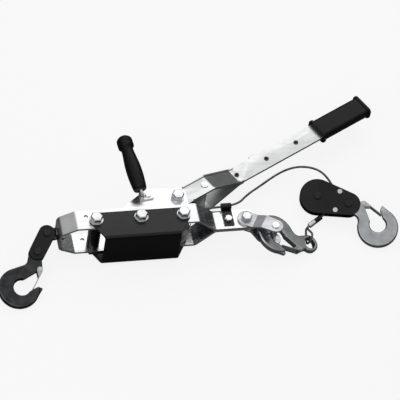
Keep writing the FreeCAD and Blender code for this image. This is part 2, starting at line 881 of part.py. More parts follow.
wire = size("spring_wire_radius")
spring_radius = size("sleeve_radius") + size("running_gap") + size("drum_bore_wall") + 0.2 + wire
spring_edges, spring_first, spring_last = coil_edges(spring_radius, 2.6 * wire, 6.25, 200, middle + 7)
spring_start = spring_first[0] - spring_first[1] * 12
spring_end = spring_last[0] + spring_last[1] * 12
spring_edges = ([Part.LineSegment(spring_start, spring_first[0]).toShape()] + spring_edges
                + [Part.LineSegment(spring_last[0], spring_end).toShape()])
spring = tube(spring_edges, wire, spring_start, spring_first[1])
print("spring least gap", round(least_gap(spring_edges[1:-1], wire, 2 * math.pi * spring_radius), 2))
shaped("pawl_spring", spring, pawl_place)


# Hand lever: two pressed straps that fork round the drum and meet as one bar

upright_section = Rotation(Vector(0, 1, 0), Vector(0, 0, 1), Vector(1, 0, 0), "ZXY")
lever_place = Placement(Vector(0, 0, 0), Rotation(Vector(0, 0, 1), size("lever_angle")))
half_lever = size("lever_width") / 2
bar_start = size("fork_level") + size("fork_slope")
rivets_at = [size("rivet_first") + count * size("rivet_pitch") for count in range(3)]


def lever_strap():
    """The upper strap in lever axes: X along the lever, Y across it."""
    thick = size("lever_thick")
    level = fork_top - thick / 2
    bar = lever_centre + thick / 2
    path = [(-half_lever, level), (size("fork_level"), level), (bar_start, bar), (size("lever_reach"), bar)]
    strap = bent_sheet(path[::-1], thick, size("lever_bend_radius"), size("lever_width"))
    strap.translate(Vector(0, -half_lever, 0))
    outline = [
        (-half_lever, -half_lever),
        (size("lever_reach"), -half_lever),
        (size("lever_reach"), half_lever),
        (-half_lever, half_lever),
    ]
    strap = strap.common(slab(outline, [half_lever - 0.01, 5, 5, half_lever - 0.01], 0, 120))
    raised = offset_corners(path, (thick + size("lever_rib_height")) / 2)
    raised[0] = (size("lever_rib_start"), raised[0][1])
    raised[-1] = (bar_start + 12, raised[-1][1])
    rib = bent_sheet(raised[::-1], size("lever_rib_height"), size("lever_bend_radius"),
                     size("lever_rib_width"))
    near_rib = rib.copy()
    near_rib.translate(Vector(0, -half_lever, 0))
    far_rib = rib.copy()
    far_rib.translate(Vector(0, half_lever - size("lever_rib_width"), 0))
    ear = [(224, half_lever - 2), (228, half_lever + 5), (240, half_lever + 5), (244, half_lever - 2)]
    ear_plate = slab(ear, [0, 3, 3, 0], lever_centre, lever_centre + thick)
    strap = strap.fuse([near_rib, far_rib, ear_plate]).removeSplitter()
    holes = [disc(0, 0, size("frame_bolt_radius") + size("running_gap"), 0, 120)]
    holes.append(disc(size("drive_pin_reach"), 0, size("pawl_pin_radius"), 0, 120))
    holes += [disc(reach, 0, size("rivet_radius"), 0, 120) for reach in rivets_at]
    return strap.cut(holes)


upper_strap = lever_strap()
lower_strap = upper_strap.mirror(Vector(0, 0, lever_centre), Vector(0, 0, 1))
shaped("lever_strap_upper", upper_strap, lever_place)
shaped("lever_strap_lower", lower_strap, lever_place)


def in_lever(x, y, z):
    return lever_place.multiply(upright(x, y, z))


def tubular_rivet(reach):
    low = lever_centre - size("lever_thick")
    high = lever_centre + size("lever_thick")
    body = cylinder("rivet_radius", "2 * lever_thick", in_lever(reach, 0, low))
    top = cylinder("rivet_head_radius", "rivet_head_height", in_lever(reach, 0, high))
    bottom = cylinder("rivet_head_radius", "rivet_head_height",
                      in_lever(reach, 0, low - size("rivet_head_height")))
    bore = cylinder("rivet_bore_radius", "2 * lever_thick + 2 * rivet_head_height",
                    in_lever(reach, 0, low - size("rivet_head_height")))
    return drilled(fused([body, top, bottom]), bore)


keep(grouped([tubular_rivet(reach) for reach in rivets_at]), "lever_rivets")

pin_low = fork_low - size("pawl_pin_head_height")
keep(fused([
    cylinder("pawl_pin_radius", "fork_outside", in_lever(size("drive_pin_reach"), 0, fork_low)),
    cylinder("pawl_pin_head_radius", "pawl_pin_head_height", in_lever(size("drive_pin_reach"), 0, fork_top)),
    cylinder("pawl_pin_head_radius", "pawl_pin_head_height", in_lever(size("drive_pin_reach"), 0, pin_low)),
]), "drive_pawl_pin")


def drive_pawl():
    low = drum_low - 0.1
    high = drum_low + drum_height + 0.1
    hub = size("pawl_hub_radius")
    tip = size("drive_pawl_reach")
    half_tip = size("pawl_thick") / 2 - 0.5
    block = [(0, -hub + 1), (tip - 12, -half_tip), (tip, -half_tip), (tip - 1, half_tip), (0, hub - 1)]
    pawl = disc(0, 0, hub, low, high).fuse(slab(block, [0] * 5, low, high)).removeSplitter()
    return pawl.cut(disc(0, 0, size("pawl_pin_radius") + size("running_gap"), low - 1, high + 1))


shaped("drive_pawl", drive_pawl(), lever_place.multiply(Placement(
    Vector(size("drive_pin_reach"), 0, 0), Rotation(Vector(0, 0, 1), 180 + size("drive_pawl_turn")))))


def grip_slice(start, length, width, height, corner):
    """A rounded bar along the lever."""
    across = width / 2
    up = height / 2
    corners = [(-across, -up), (across, -up), (across, up), (-across, up)]
    face = Part.Face(rounded_wire(corners, [corner] * 4))
    bar = face.extrude(Vector(0, 0, length))
    bar.Placement = Placement(Vector(start, 0, lever_centre), upright_section)
    return bar


def lever_grip():
    start = size("grip_start")
    end = size("lever_reach") + size("grip_overhang")
    flange = size("grip_flange_length")
    body = grip_slice(start, end - start, size("grip_width"), size("grip_height"), 8)
    for at in (start, end - flange):
        body = body.fuse(grip_slice(at, flange, size("grip_flange_width"), size("grip_flange_height"), 9))
    slot = Part.makeBox(
        size("lever_reach") + 0.2 - start + 1,
        size("lever_width") + 0.2,
        2 * size("lever_thick") + 0.2,
        Vector(start - 1, -half_lever - 0.1, lever_centre - size("lever_thick") - 0.1))
    return body.removeSplitter().cut(slot)


shaped("lever_grip", lever_grip(), lever_place)


# Side handle: an L bracket riveted to the upper plate and a turned grip on its tang

def handle_bracket():
    thick = size("handle_foot_thick")
    bar = size("handle_bar_thick")
    tang = size("handle_bar_width")
    axis = size("handle_axis_height")
    climb = math.tan(math.radians(size("handle_rise")))
    base = size("handle_base_gap")
    deep = size("handle_tang_length") - 2
    side = [
        (-14, 0),
        (base - 0.5, 0),
        (base - 0.5, axis - tang / 2),
        (deep, axis - tang / 2 + (deep - base) * climb),
        (deep, axis + tang / 2 + (deep - base) * climb),
        (-6, axis + tang / 2 - (6 + base) * climb),
        (-14, axis - 4),
    ]
    face = Part.Face(rounded_wire(side, [0, 0, 0, 0, 0, 5, 5]))
    plate = face.extrude(Vector(0, 0, bar))
    plate.Placement = Placement(Vector(-bar / 2, 0, 0), upright_section)
    reach = size("handle_foot_length")
    foot_outline = [(-bar / 2, -14), (reach, -14), (reach, size("handle_foot_width") - 14), (-bar / 2, 2)]
    foot = slab(foot_outline, [0, 7, 7, 0], 0, thick)
    rivet = disc(size("handle_rivet_aside"), size("handle_rivet_along"), size("handle_rivet_radius"), -1, 9)
    return plate.fuse(foot).removeSplitter().cut(rivet)


shaped("handle_bracket", handle_bracket(), handle_frame)
rivet_place = handle_frame.multiply(
    upright(size("handle_rivet_aside"), size("handle_rivet_along"), -size("strap_thick")))
rivet_top = handle_frame.multiply(
    upright(size("handle_rivet_aside"), size("handle_rivet_along"), size("handle_foot_thick")))
keep(fused([
    cylinder("handle_rivet_radius", "strap_thick + handle_foot_thick", rivet_place),
    cylinder("handle_rivet_head", "handle_foot_thick - 1", rivet_top),
]), "handle_rivet")

# The grip turns about its own Z, from the base at 0 to the domed end.
grip_end = "handle_grip_length"
grip_body = turned_body("HandleGrip", [
    ("0", "handle_tang_length"),
    ("handle_bore_radius", "handle_tang_length"),
    ("handle_bore_radius", "0"),
    ("handle_base_radius", "0"),
    ("handle_base_radius + 0.8", "4"),
    ("handle_belly_radius - 0.8", "22"),
    ("handle_belly_radius", "42"),
    ("handle_belly_radius - 0.6", "62"),
    ("handle_neck_radius + 0.7", grip_end + " - 46"),
    ("handle_neck_radius", grip_end + " - 38"),
    ("handle_neck_radius", grip_end + " - 34"),
    ("handle_end_radius", grip_end + " - 28"),
    ("handle_end_radius", grip_end + " - 12"),
    ("handle_end_radius - 2.5", grip_end + " - 6"),
    ("handle_end_radius - 7", grip_end + " - 1.8"),
    ("handle_end_radius - 13", grip_end),
    ("0", grip_end),
])
grip_way = Rotation(Vector(1, 0, 0), -90 + size("handle_rise"))
keep(grip_body, "handle_grip", handle_frame.multiply(
    Placement(Vector(0, size("handle_base_gap"), size("handle_axis_height")), grip_way)))


# Hooks: X runs from the eye to the saddle, Y to the tip, and Z is the plate's normal

def bevelled(plate, half, edge):
    """A plate about the middle plane with its upper and lower rims cut at 45 degrees."""
    faces = [face for face in plate.Faces if abs(abs(face.CenterOfMass.z) - half) < 1e-3]
    rims = [rim for face in faces for rim in face.OuterWire.Edges]
    return plate.makeChamfer(edge, rims)


def hook_plate(reach, eye_radius, eye_hole):
    outer = size("hook_outer_radius")
    inner = size("hook_inner_radius")
    half = size("hook_thick") / 2
    back = -size("hook_inner_back")
    aside = size("hook_inner_aside")
    side = eye_radius * 0.88
    lean = eye_radius * 0.47
    shank = [
        (-27.7, -35.5),
        (33.6 - reach, -8.6),
        (lean - reach, -side),
        (lean - reach, side),
        (-60, 27.6),
        (-51.5, 20),
        (-20, 12),
        (0, 0),
    ]
    edge = size("hook_edge")
    shape = bevelled(disc(0, 0, outer, -half, half), half, edge).fuse([
        bevelled(slab(shank, [0, 14, 0, 0, 0, 0, 0, 0], -half, half), half, edge),
        bevelled(disc(-reach, 0, eye_radius, -half, half), half, edge),
        disc(-size("latch_back"), size("latch_aside"), size("latch_lug_radius"), -half, half),
    ])
    throat = [
        (-22, 0),
        (-50, 17),
        (-56, 62),
        (-24.5, 62),
        (-24, 46),
        (-21, 35),
        (back + 1, aside + inner),
        (back, aside),
    ]
    bowl = disc(back, aside, inner, -half - 1, half + 1)
    rims = [
        Part.makeCone(inner, inner + 2 * edge, 2 * edge, Vector(back, aside, half - edge)),
        Part.makeCone(inner + 2 * edge, inner, 2 * edge, Vector(back, aside, -half - edge)),
    ]
    shape = shape.cut([bowl, slab(throat, [0] * 8, -half - 1, half + 1)] + rims)
    flare = [(-3, outer - 0.5), (-24, 46), (-21, 35), (back + 1, aside + inner + 0.01)]
    shape = shape.fuse(slab(flare, [0, 2, 2, 0], edge - half, half - edge)).removeSplitter()
    return shape.cut([
        disc(-reach, 0, eye_hole, -half - 1, half + 1),
        disc(-size("latch_back"), size("latch_aside"), size("latch_pin_radius"), -half - 1, half + 1),
    ])


def latch_plate():
    thick = size("latch_thick")
    half = size("hook_thick") / 2 + 0.4
    pivot_x = -size("latch_back")
    pivot_y = size("latch_aside")
    top = pivot_y + 6
    strip = Part.makeBox(37.5, thick, 2 * (half + thick), Vector(-49.5, top - thick, -half - thick))
    ear = [(pivot_x, pivot_y - 6.2), (pivot_x + 6, pivot_y - 4), (pivot_x + 16, top - thick),
           (pivot_x + 16, top), (pivot_x, top + 0.2)]
    pieces = [strip]
    for low in (-half - thick, half):
        pieces.append(slab(ear, [0] * 5, low, low + thick))
        pieces.append(disc(pivot_x, pivot_y, 6.2, low, low + thick))
    latch = pieces[0].fuse(pieces[1:]).removeSplitter()
    return latch.cut(disc(pivot_x, pivot_y, size("latch_pin_radius") + size("running_gap"), -20, 20))


def add_hook(name, reach, eye_radius, eye_hole, place):
    """A hook with its spring latch and latch pin; place puts the bowl's centre."""
    shaped(name + "_hook", hook_plate(reach, eye_radius, eye_hole), place)
    shaped(name + "_latch", latch_plate(), place)
    half = size("hook_thick") / 2 + 0.4 + size("latch_thick") + 0.2
    at = Vector(-size("latch_back"), size("latch_aside"), -half)
    top = Vector(at.x, at.y, half)
    low = Vector(at.x, at.y, -half - 1.4)
    pin = fused([
        cylinder("latch_pin_radius", "hook_thick + 2 * latch_thick + 1.2",
                 place.multiply(Placement(at, Rotation()))),
        cylinder("latch_pin_head", "1.4", place.multiply(Placement(top, Rotation()))),
        cylinder("latch_pin_head", "1.4", place.multiply(Placement(low, Rotation()))),
    ])
    keep(pin, name + "_latch_pin")


# Swivel, links and hook at the nose, laid over on their near side

def rim_drop(radius, tilt):
    """How far a bevelled round plate, tilted by so many degrees, reaches below its centre."""
    lean = math.sin(math.radians(tilt))
    rise = math.cos(math.radians(tilt))
    half = size("hook_thick") / 2
    edge = size("hook_edge")
    return max(radius * lean + (half - edge) * rise, (radius - edge) * lean + half * rise)


def roll_to_floor(radius, height):
    """The tilt in degrees at which a plate hinged at this height touches the floor."""
    half = size("hook_thick") / 2
    edge = size("hook_edge")
    corners = [(radius, half - edge), (radius - edge, half)]
    return min(math.degrees(math.asin(height / math.hypot(out, deep)) - math.atan(deep / out))
               for out, deep in corners)


half_hook = size("hook_thick") / 2
swivel_axis = Vector(nose_outer - size("swivel_reach"), strap_centre, middle)
link_turn = -size("link_angle")
chain_reach = size("link_pitch") + size("frame_hook_reach")
low_reach = chain_reach * math.sin(math.radians(size("link_angle"))) + size("hook_outer_radius")
chain_roll = roll_to_floor(low_reach, middle)
chain_place = Placement(swivel_axis, Rotation(Vector(1, 0, 0), chain_roll))


def swivel():
    half = size("hook_thick") / 2
    eye = size("swivel_eye_radius")
    shank = size("swivel_reach") + size("strap_thick") + size("swivel_head_length") + 3
    collar_start = size("swivel_reach") - size("swivel_collar_length") - 0.3
    tongue = disc(0, 0, eye, -half, half)
    tongue = tongue.fuse(Part.makeBox(collar_start, 2 * eye, 2 * half, Vector(0, -eye, -half)))
    collar = Part.makeCylinder(size("swivel_collar_radius"), size("swivel_collar_length"),
                               Vector(collar_start, 0, 0), Vector(1, 0, 0))
    rod = Part.makeCylinder(size("swivel_shank_radius"), shank - collar_start, Vector(collar_start, 0, 0),
                            Vector(1, 0, 0))
    shape = tongue.fuse([collar, rod]).removeSplitter()
    return shape.cut(disc(0, 0, size("link_pin_radius") + size("running_gap"), -20, 20))


shaped("swivel_shank", swivel(), chain_place)
nut_place = chain_place.multiply(Placement(
    Vector(size("swivel_reach") + size("strap_thick") + 0.3, 0, 0), Rotation(Vector(0, 1, 0), 90)))
keep(drilled(hexagon("swivel_head_radius", "swivel_head_length", nut_place),
             cylinder("swivel_shank_radius", "swivel_head_length", nut_place)), "swivel_nut")

links_place = chain_place.multiply(Placement(Vector(0, 0, 0), Rotation(Vector(0, 0, 1), link_turn)))
link_inner = half_hook + size("loose_gap")


def link_plate(low):
    plate = stadium(size("link_pitch"), size("link_radius"), size("link_radius") - 0.5,
                    low, low + size("link_thick"))
    return plate.cut([disc(0, 0, size("link_pin_radius"), low - 1, low + 9),
                      disc(size("link_pitch"), 0, size("link_pin_radius"), low - 1, low + 9)])


shaped("link_plate_upper", link_plate(link_inner), links_place)
shaped("link_plate_lower", link_plate(-link_inner - size("link_thick")), links_place)


def headed_pin(place, radius, half_length, head, head_height):
    """A pin about the plate's middle with a head at each end."""
    centre = Vector(0, 0, -size_of(half_length))
    top = Vector(0, 0, size_of(half_length))
    low = Vector(0, 0, -size_of(half_length) - size_of(head_height))
    return fused([
        cylinder(radius, "2 * (" + half_length + ")", place.multiply(Placement(centre, Rotation()))),
        cylinder(head, head_height, place.multiply(Placement(top, Rotation()))),
        cylinder(head, head_height, place.multiply(Placement(low, Rotation()))),
    ])


pin_half = "hook_thick / 2 + loose_gap + link_thick"
keep(grouped([
    headed_pin(links_place.multiply(upright(reach, 0, 0)), "link_pin_radius", pin_half,
               "link_pin_head_radius", "link_pin_head_height")
    for reach in (0, size("link_pitch"))]), "link_pins")
add_hook("frame", size("frame_hook_reach"), size("hook_eye_radius"),
         size("link_pin_radius") + size("running_gap"), links_place.multiply(upright(chain_reach, 0, 0)))


# Rope guide bolted on the neck

def rope_guide():
    wide = size("guide_width")
    thick = size("guide_thick")
    eye = size("guide_eye_radius")
    left = size("guide_right") - wide / 2
    start = strap_near + 8
    eye_y = strap_far + eye + thick - 1
    flat = Part.makeBox(wide, eye_y - start, thick, Vector(left, start, neck_top))
    eye_z = neck_top + thick + eye
    curl = Part.makeCylinder(eye + thick, wide, Vector(left, eye_y, eye_z), Vector(1, 0, 0))
    guide = flat.fuse(curl).removeSplitter()
    bore = Part.makeCylinder(eye, wide + 2, Vector(left - 1, eye_y, eye_z), Vector(1, 0, 0))
    bolt_bore = disc(size("guide_right"), guide_row, size("guide_bolt_radius"), neck_top - 1, neck_top + 9)
    return guide.cut([bore, bolt_bore])


shaped("rope_guide", rope_guide())
neck_stack = "2 * strap_thick + neck_seam"
keep(bolt(size("guide_right"), guide_row, neck_bottom - size("guide_hex_height") - 2, "guide_bolt_radius",
          neck_stack + " + guide_thick + guide_hex_height + 2", "guide_bolt_hex", "guide_hex_height",
          neck_top + size("guide_thick")), "guide_bolt")
keep(nut(size("guide_right"), guide_row, neck_bottom - size("guide_hex_height"), "guide_bolt_radius",
         "guide_bolt_hex", "guide_hex_height"), "guide_nut")


# Anchor arms: two cranked straps on the neck that spread to hold the cable hook's pin

anchor_place = Placement(Vector(size("anchor_right"), anchor_row, 0),
                         Rotation(Vector(0, 0, 1), -size("anchor_angle")))


def anchor_arm(start, end):
    """One arm from its height at the neck to its height at the pin."""
    thick = size("anchor_thick")
    big = size("anchor_radius")
    small = size("anchor_tip_radius")
    pitch = size("anchor_pitch")
    path = [(-big, start), (size("anchor_level"), start),
            (size("anchor_level") + size("anchor_slope"), end), (pitch + small, end)]
    arm = bent_sheet(path[::-1], thick, 4, 2 * big)
    arm.translate(Vector(0, -big, 0))
    arm = arm.common(stadium(pitch, big, small, 0, 120))
    return arm.cut([disc(0, 0, size("anchor_bolt_radius") + size("running_gap"), 0, 120),
                    disc(pitch, 0, size("anchor_pin_radius"), 0, 120)])


anchor_gap = size("anchor_gap")
arm_half = size("anchor_thick") / 2
upper_start = neck_top + anchor_gap + arm_half
lower_start = neck_bottom - anchor_gap - arm_half
upper_end = upper_start + size("anchor_rise")
lower_end = lower_start - size("anchor_fall")
shaped("anchor_arm_upper", anchor_arm(upper_start, upper_end), anchor_place)
shaped("anchor_arm_lower", anchor_arm(lower_start, lower_end), anchor_place)
anchor_nut_low = neck_bottom - size("anchor_thick") - size("anchor_hex_height") - 0.2
anchor_bolt_reach = neck_stack + " + 2 * anchor_thick + anchor_hex_height + 2.4"
keep(bolt(size("anchor_right"), anchor_row, anchor_nut_low - 2, "anchor_bolt_radius", anchor_bolt_reach,
          "anchor_bolt_hex", "anchor_hex_height", neck_top + size("anchor_thick") + 0.2), "anchor_bolt")
keep(nut(size("anchor_right"), anchor_row, anchor_nut_low, "anchor_bolt_radius", "anchor_bolt_hex",
         "anchor_hex_height"), "anchor_nut")
pin_place = anchor_place.multiply(upright(size("anchor_pitch"), 0, (upper_end + lower_end) / 2))
anchor_spread = "anchor_rise + anchor_fall + 2 * strap_thick + neck_seam + 2 * anchor_gap"
keep(headed_pin(pin_place, "anchor_pin_radius", "(" + anchor_spread + ") / 2 + anchor_thick",
                "anchor_pin_head_radius", "anchor_pin_head_height"), "anchor_pin")


# Cable hook, hooked on the anchor pin and leaning down to the rope's eye

heading = math.radians(size("cable_hook_heading"))
dip = math.radians(size("cable_hook_dip"))
hook_way = Vector(-math.cos(dip) * math.cos(heading), math.cos(dip) * math.sin(heading), math.sin(dip))
level_side = Vector(0, 0, 1).cross(hook_way).normalize()
level_up = hook_way.cross(level_side)
roll = math.radians(size("cable_hook_roll"))
tip_way = level_side * math.cos(roll) - level_up * math.sin(roll)
hook_up = hook_way.cross(tip_way)
cable_turn = Rotation(hook_way, tip_way, hook_up, "XYZ")
seat = Vector(size("cable_hook_seat") - size("hook_inner_back"), size("hook_inner_aside"), 0)
to_eye = cable_turn.multVec(Vector(-size("cable_hook_reach"), 0, 0) - seat)
cable_tilt = math.degrees(math.acos(hook_up.z))
cable_height = rim_drop(size("cable_eye_radius"), cable_tilt) - to_eye.z
pin_centre = Vector(pin_place.Base.x, pin_place.Base.y, cable_height)
cable_place = Placement(pin_centre - cable_turn.multVec(seat), cable_turn)
add_hook("cable", size("cable_hook_reach"), size("cable_eye_radius"), size("cable_eye_bore"), cable_place)


# Snatch block: X from the sheave to the hook pin, Y to the far side, Z square to its plates

hook_drop = math.radians(size("block_hook_turn"))
lowest = size("block_hook_reach") * math.sin(hook_drop)
block_height = lowest * math.sin(math.radians(size("block_tilt"))) + rim_drop(
    size("hook_outer_radius"), size("block_tilt"))
block_place = Placement(
    Vector(size("block_right"), size("block_far"), block_height),
    Rotation(Vector(0, 0, 1), -size("block_turn")).multiply(Rotation(Vector(1, 0, 0), size("block_tilt"))))


def block_plate(low):
    plate = stadium(size("block_pitch"), size("block_radius"), size("block_small_radius"), low,
                    low + size("block_plate_thick"))
    holes = [disc(0, 0, size("block_pin_radius"), low - 1, low + 9)]
    holes.append(disc(size("block_pitch"), 0, size("block_pin_radius"), low - 1, low + 9))
    for side in (-1, 1):
        holes.append(disc(size("block_spacer_along"), side * size("block_spacer_aside"),
                          size("block_spacer_radius"), low - 1, low + 9))
    return plate.cut(holes)


shaped("block_plate_upper", block_plate(size("block_gap") / 2), block_place)
shaped("block_plate_lower", block_plate(-size("block_gap") / 2 - size("block_plate_thick")), block_place)
sheave_bore = "block_pin_radius + running_gap"
keep(turned_body("Sheave", [
    (sheave_bore, "-sheave_width / 2"),
    ("sheave_radius", "-sheave_width / 2"),
    ("sheave_radius", "-sheave_width / 2 + 1.2"),
    ("sheave_groove_radius + 1.2", "-rope_radius"),
    ("sheave_groove_radius", "-rope_radius / 2"),
    ("sheave_groove_radius", "rope_radius / 2"),
    ("sheave_groove_radius + 1.2", "rope_radius"),
    ("sheave_radius", "sheave_width / 2 - 1.2"),
    ("sheave_radius", "sheave_width / 2"),
    (sheave_bore, "sheave_width / 2"),
]), "sheave", block_place)
block_half = "block_gap / 2 + block_plate_thick"
keep(grouped([
    headed_pin(block_place.multiply(upright(reach, 0, 0)), "block_pin_radius", block_half,
               "block_pin_head_radius", "block_pin_head_height")
    for reach in (0, size("block_pitch"))]), "block_pins")
spacer_places = [
    block_place.multiply(upright(size("block_spacer_along"), side * size("block_spacer_aside"), 0))
    for side in (-1, 1)
]
keep(grouped([
    headed_pin(place, "block_spacer_radius", block_half, "block_spacer_head_radius",
               "block_spacer_head_height")
    for place in spacer_places]), "block_spacers")
block_hook_place = block_place.multiply(Placement(
    Vector(size("block_pitch"), 0, 0), Rotation(Vector(0, 0, 1), -size("block_hook_turn"))))
add_hook("block", size("block_hook_reach"), size("hook_eye_radius"),
         size("block_pin_radius") + size("running_gap"),
         block_hook_place.multiply(upright(size("block_hook_reach"), 0, 0)))


# Free rope from the drum to the block, and its eye round the cable hook's ring

def on_block(x, y):
    return block_place.multVec(Vector(x, y, 0))


rope_away = (first_point - wind_last[0]).normalize()
clear_start = math.sqrt((wind_radius + tail + rope_radius + 0.5) ** 2 - wind_radius ** 2)
ferrule_way = Vector(math.cos(math.radians(-127)), math.sin(math.radians(-127)), 0)
ferrule_start = Vector(18.8, -41.7, 0)
rope_points = [
    wind_last[0] + rope_away * clear_start,
    first_point,
    Vector(132, -12.7, 75.2),
    Vector(160, 15, 74.8),
    Vector(189.8, 34.9, 74),
    Vector(228.8, 62.5, 73),
    Vector(257.1, 78.4, 72),
    Vector(280.8, 85.7, 71),
    Vector(299.7, 86.7, 70),
    Vector(317.9, 83.2, 69),
    Vector(333.7, 76.3, 67),
    Vector(348.0, 63.5, 62.5),
    on_block(31.3, 30),
    on_block(31.3, -2.7),
    on_block(27.2, -30.5),
    on_block(ferrule_start.x, ferrule_start.y),
]
rope_edges = routed_edges(rope_points, "rope")
rope = tube(rope_edges, rope_radius, rope_points[0], rope_away)
report_tube("rope", rope, rope_edges, rope_radius)
shaped("rope_span", rope)

ferrule_turn = math.degrees(math.atan2(ferrule_way.y, ferrule_way.x))


def ferrule(name, start):
    place = block_place.multiply(Placement(
        ferrule_start + ferrule_way * start,
        Rotation(Vector(0, 0, 1), ferrule_turn).multiply(Rotation(Vector(0, 1, 0), 90))))
    keep(cylinder("ferrule_radius", "ferrule_length", place), name)


ferrule("ferrule_black", 0)
ferrule("ferrule_steel", size("ferrule_length"))
loop_way = block_place.Rotation.multVec(ferrule_way)
loop_root = block_place.multVec(ferrule_start + ferrule_way * (2 * size("ferrule_length")))
ring_centre = cable_place.multVec(Vector(-size("cable_hook_reach"), 0, 0))
to_root = loop_root - ring_centre
ring_side = (to_root - hook_up * to_root.dot(hook_up)).normalize()
wall_centre = ring_centre + ring_side * (size("cable_eye_radius") + size("cable_eye_bore")) / 2
loop_radius = size("rope_eye_radius")
leg_side = (hook_up - loop_way * hook_up.dot(loop_way)).normalize() * (rope_radius + 0.3)
top_start = loop_root + leg_side
low_start = loop_root - leg_side
lead = loop_way * (2 * rope_radius)
top_point = wall_centre + hook_up * loop_radius
low_point = wall_centre - hook_up * loop_radius
turn_point = wall_centre - ring_side * loop_radius
eye_edges = [Part.LineSegment(top_start, top_start + lead).toShape()]
eye_edges += biarc(top_start + lead, loop_way, top_point, -ring_side)
eye_edges.append(Part.Arc(top_point, turn_point, low_point).toShape())
eye_edges += biarc(low_point, ring_side, low_start + lead, -loop_way)
eye_edges.append(Part.LineSegment(low_start + lead, low_start).toShape())
eye = tube(eye_edges, rope_radius, top_start, loop_way)
report_tube("rope eye", eye, eye_edges, rope_radius)
shaped("rope_eye", eye)


# Finish: check every sub-part, centre the part on its base and export

document.recompute()
for item in document.Objects:
    if "Invalid" in item.State or "Error" in item.State:
        raise RuntimeError("bad state: " + item.Label)
whole = FreeCAD.BoundBox()
for piece in sub_parts:
    if piece.Shape.isNull() or not piece.Shape.isValid():
        raise RuntimeError("bad shape: " + piece.Label)
    if piece.Label not in ("rope_span", "rope_eye", "ferrule_black", "ferrule_steel"):
        whole.add(piece.Shape.BoundBox)
shift = Placement(Vector(-whole.Center.x, -whole.Center.y, -whole.ZMin), Rotation())
for piece in sub_parts:
    piece.Placement = shift.multiply(piece.Placement)
document.recompute()
print("shift", shift.Base, "box", whole)
for piece in sub_parts:
    piece.Shape.exportStep("parts/" + piece.Label + ".step")
print(len(sub_parts), "sub-parts")
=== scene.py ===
import bmesh
import bpy
import json
import math
from mathutils import Matrix, Vector


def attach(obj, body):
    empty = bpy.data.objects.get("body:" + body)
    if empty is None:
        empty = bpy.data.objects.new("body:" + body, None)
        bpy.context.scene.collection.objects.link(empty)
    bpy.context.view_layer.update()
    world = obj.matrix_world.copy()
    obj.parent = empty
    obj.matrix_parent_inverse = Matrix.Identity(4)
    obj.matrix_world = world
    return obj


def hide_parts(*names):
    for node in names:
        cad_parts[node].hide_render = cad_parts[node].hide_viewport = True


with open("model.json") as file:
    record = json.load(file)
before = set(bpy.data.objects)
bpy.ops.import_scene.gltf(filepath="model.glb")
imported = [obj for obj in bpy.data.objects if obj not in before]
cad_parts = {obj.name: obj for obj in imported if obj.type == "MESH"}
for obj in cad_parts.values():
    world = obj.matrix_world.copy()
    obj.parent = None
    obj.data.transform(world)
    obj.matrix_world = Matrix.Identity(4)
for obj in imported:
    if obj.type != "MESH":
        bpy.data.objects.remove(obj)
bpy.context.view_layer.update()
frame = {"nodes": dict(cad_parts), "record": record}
nodes = frame["nodes"]
bodyOf = {node: body for body, members in frame["record"]["behaviour"]["bodies"].items() for node in members}
slotOf = {part["node"]: part["material_slot"] for part in frame["record"]["subparts"]}
scene = bpy.context.scene
print("frame loaded:", len(nodes), "nodes")


# Camera, looking down on the winch from the guard's side

camera = {
    "target": (0.0056, -0.0544, 0.1024),   # what stands in the middle of the picture
    "right": (0.9764, -0.1800, 0.1200),
    "up": (0.0613, 0.7724, 0.6322),
    "distance": 8.0,
    "fieldOfView": 6.165,
}


def placeCamera():
    right = Vector(camera["right"]).normalized()
    back = right.cross(Vector(camera["up"])).normalized()
    up = back.cross(right)
    lens = bpy.data.cameras.new("photoCamera")
    lens.angle = math.radians(camera["fieldOfView"])
    eye = bpy.data.objects.new("photoCamera", lens)
    scene.collection.objects.link(eye)
    turn = Matrix((right, up, back)).transposed().to_4x4()
    eye.matrix_world = Matrix.Translation(Vector(camera["target"]) + back * camera["distance"]) @ turn
    scene.camera = eye


placeCamera()


# Node helpers for the materials

def startMaterial(name):
    material = bpy.data.materials.new(name)
    material.use_nodes = True
    tree = material.node_tree
    shader = tree.nodes["Principled BSDF"]
    place = tree.nodes.new("ShaderNodeTexCoord")
    return material, tree, shader, place.outputs["Object"]


def noise(tree, place, scale, detail=4.0, stretch=None):
    texture = tree.nodes.new("ShaderNodeTexNoise")
    texture.inputs["Scale"].default_value = scale
    texture.inputs["Detail"].default_value = detail
    if stretch:
        mapping = tree.nodes.new("ShaderNodeMapping")
        mapping.inputs["Scale"].default_value = stretch
        tree.links.new(place, mapping.inputs["Vector"])
        place = mapping.outputs["Vector"]
    tree.links.new(place, texture.inputs["Vector"])
    return texture.outputs["Fac"]


def ramp(tree, value, stops):
    node = tree.nodes.new("ShaderNodeValToRGB")
    node.color_ramp.elements[0].position = stops[0][0]
    node.color_ramp.elements[0].color = (*stops[0][1], 1)
    node.color_ramp.elements[1].position = stops[-1][0]
    node.color_ramp.elements[1].color = (*stops[-1][1], 1)
    for position, colour in stops[1:-1]:
        node.color_ramp.elements.new(position).color = (*colour, 1)
    tree.links.new(value, node.inputs["Fac"])
    return node.outputs["Color"]


def spread(tree, value, low, high):
    node = tree.nodes.new("ShaderNodeMapRange")
    node.inputs["From Min"].default_value = 0.3
    node.inputs["From Max"].default_value = 0.7
    node.inputs["To Min"].default_value = low
    node.inputs["To Max"].default_value = high
    tree.links.new(value, node.inputs["Value"])
    return node.outputs["Result"]


def bump(tree, shader, height, strength, distance, under=None):
    node = tree.nodes.new("ShaderNodeBump")
    node.inputs["Strength"].default_value = strength
    node.inputs["Distance"].default_value = distance
    tree.links.new(height, node.inputs["Height"])
    if under:
        tree.links.new(under, node.inputs["Normal"])
    tree.links.new(node.outputs["Normal"], shader.inputs["Normal"])
    return node.outputs["Normal"]


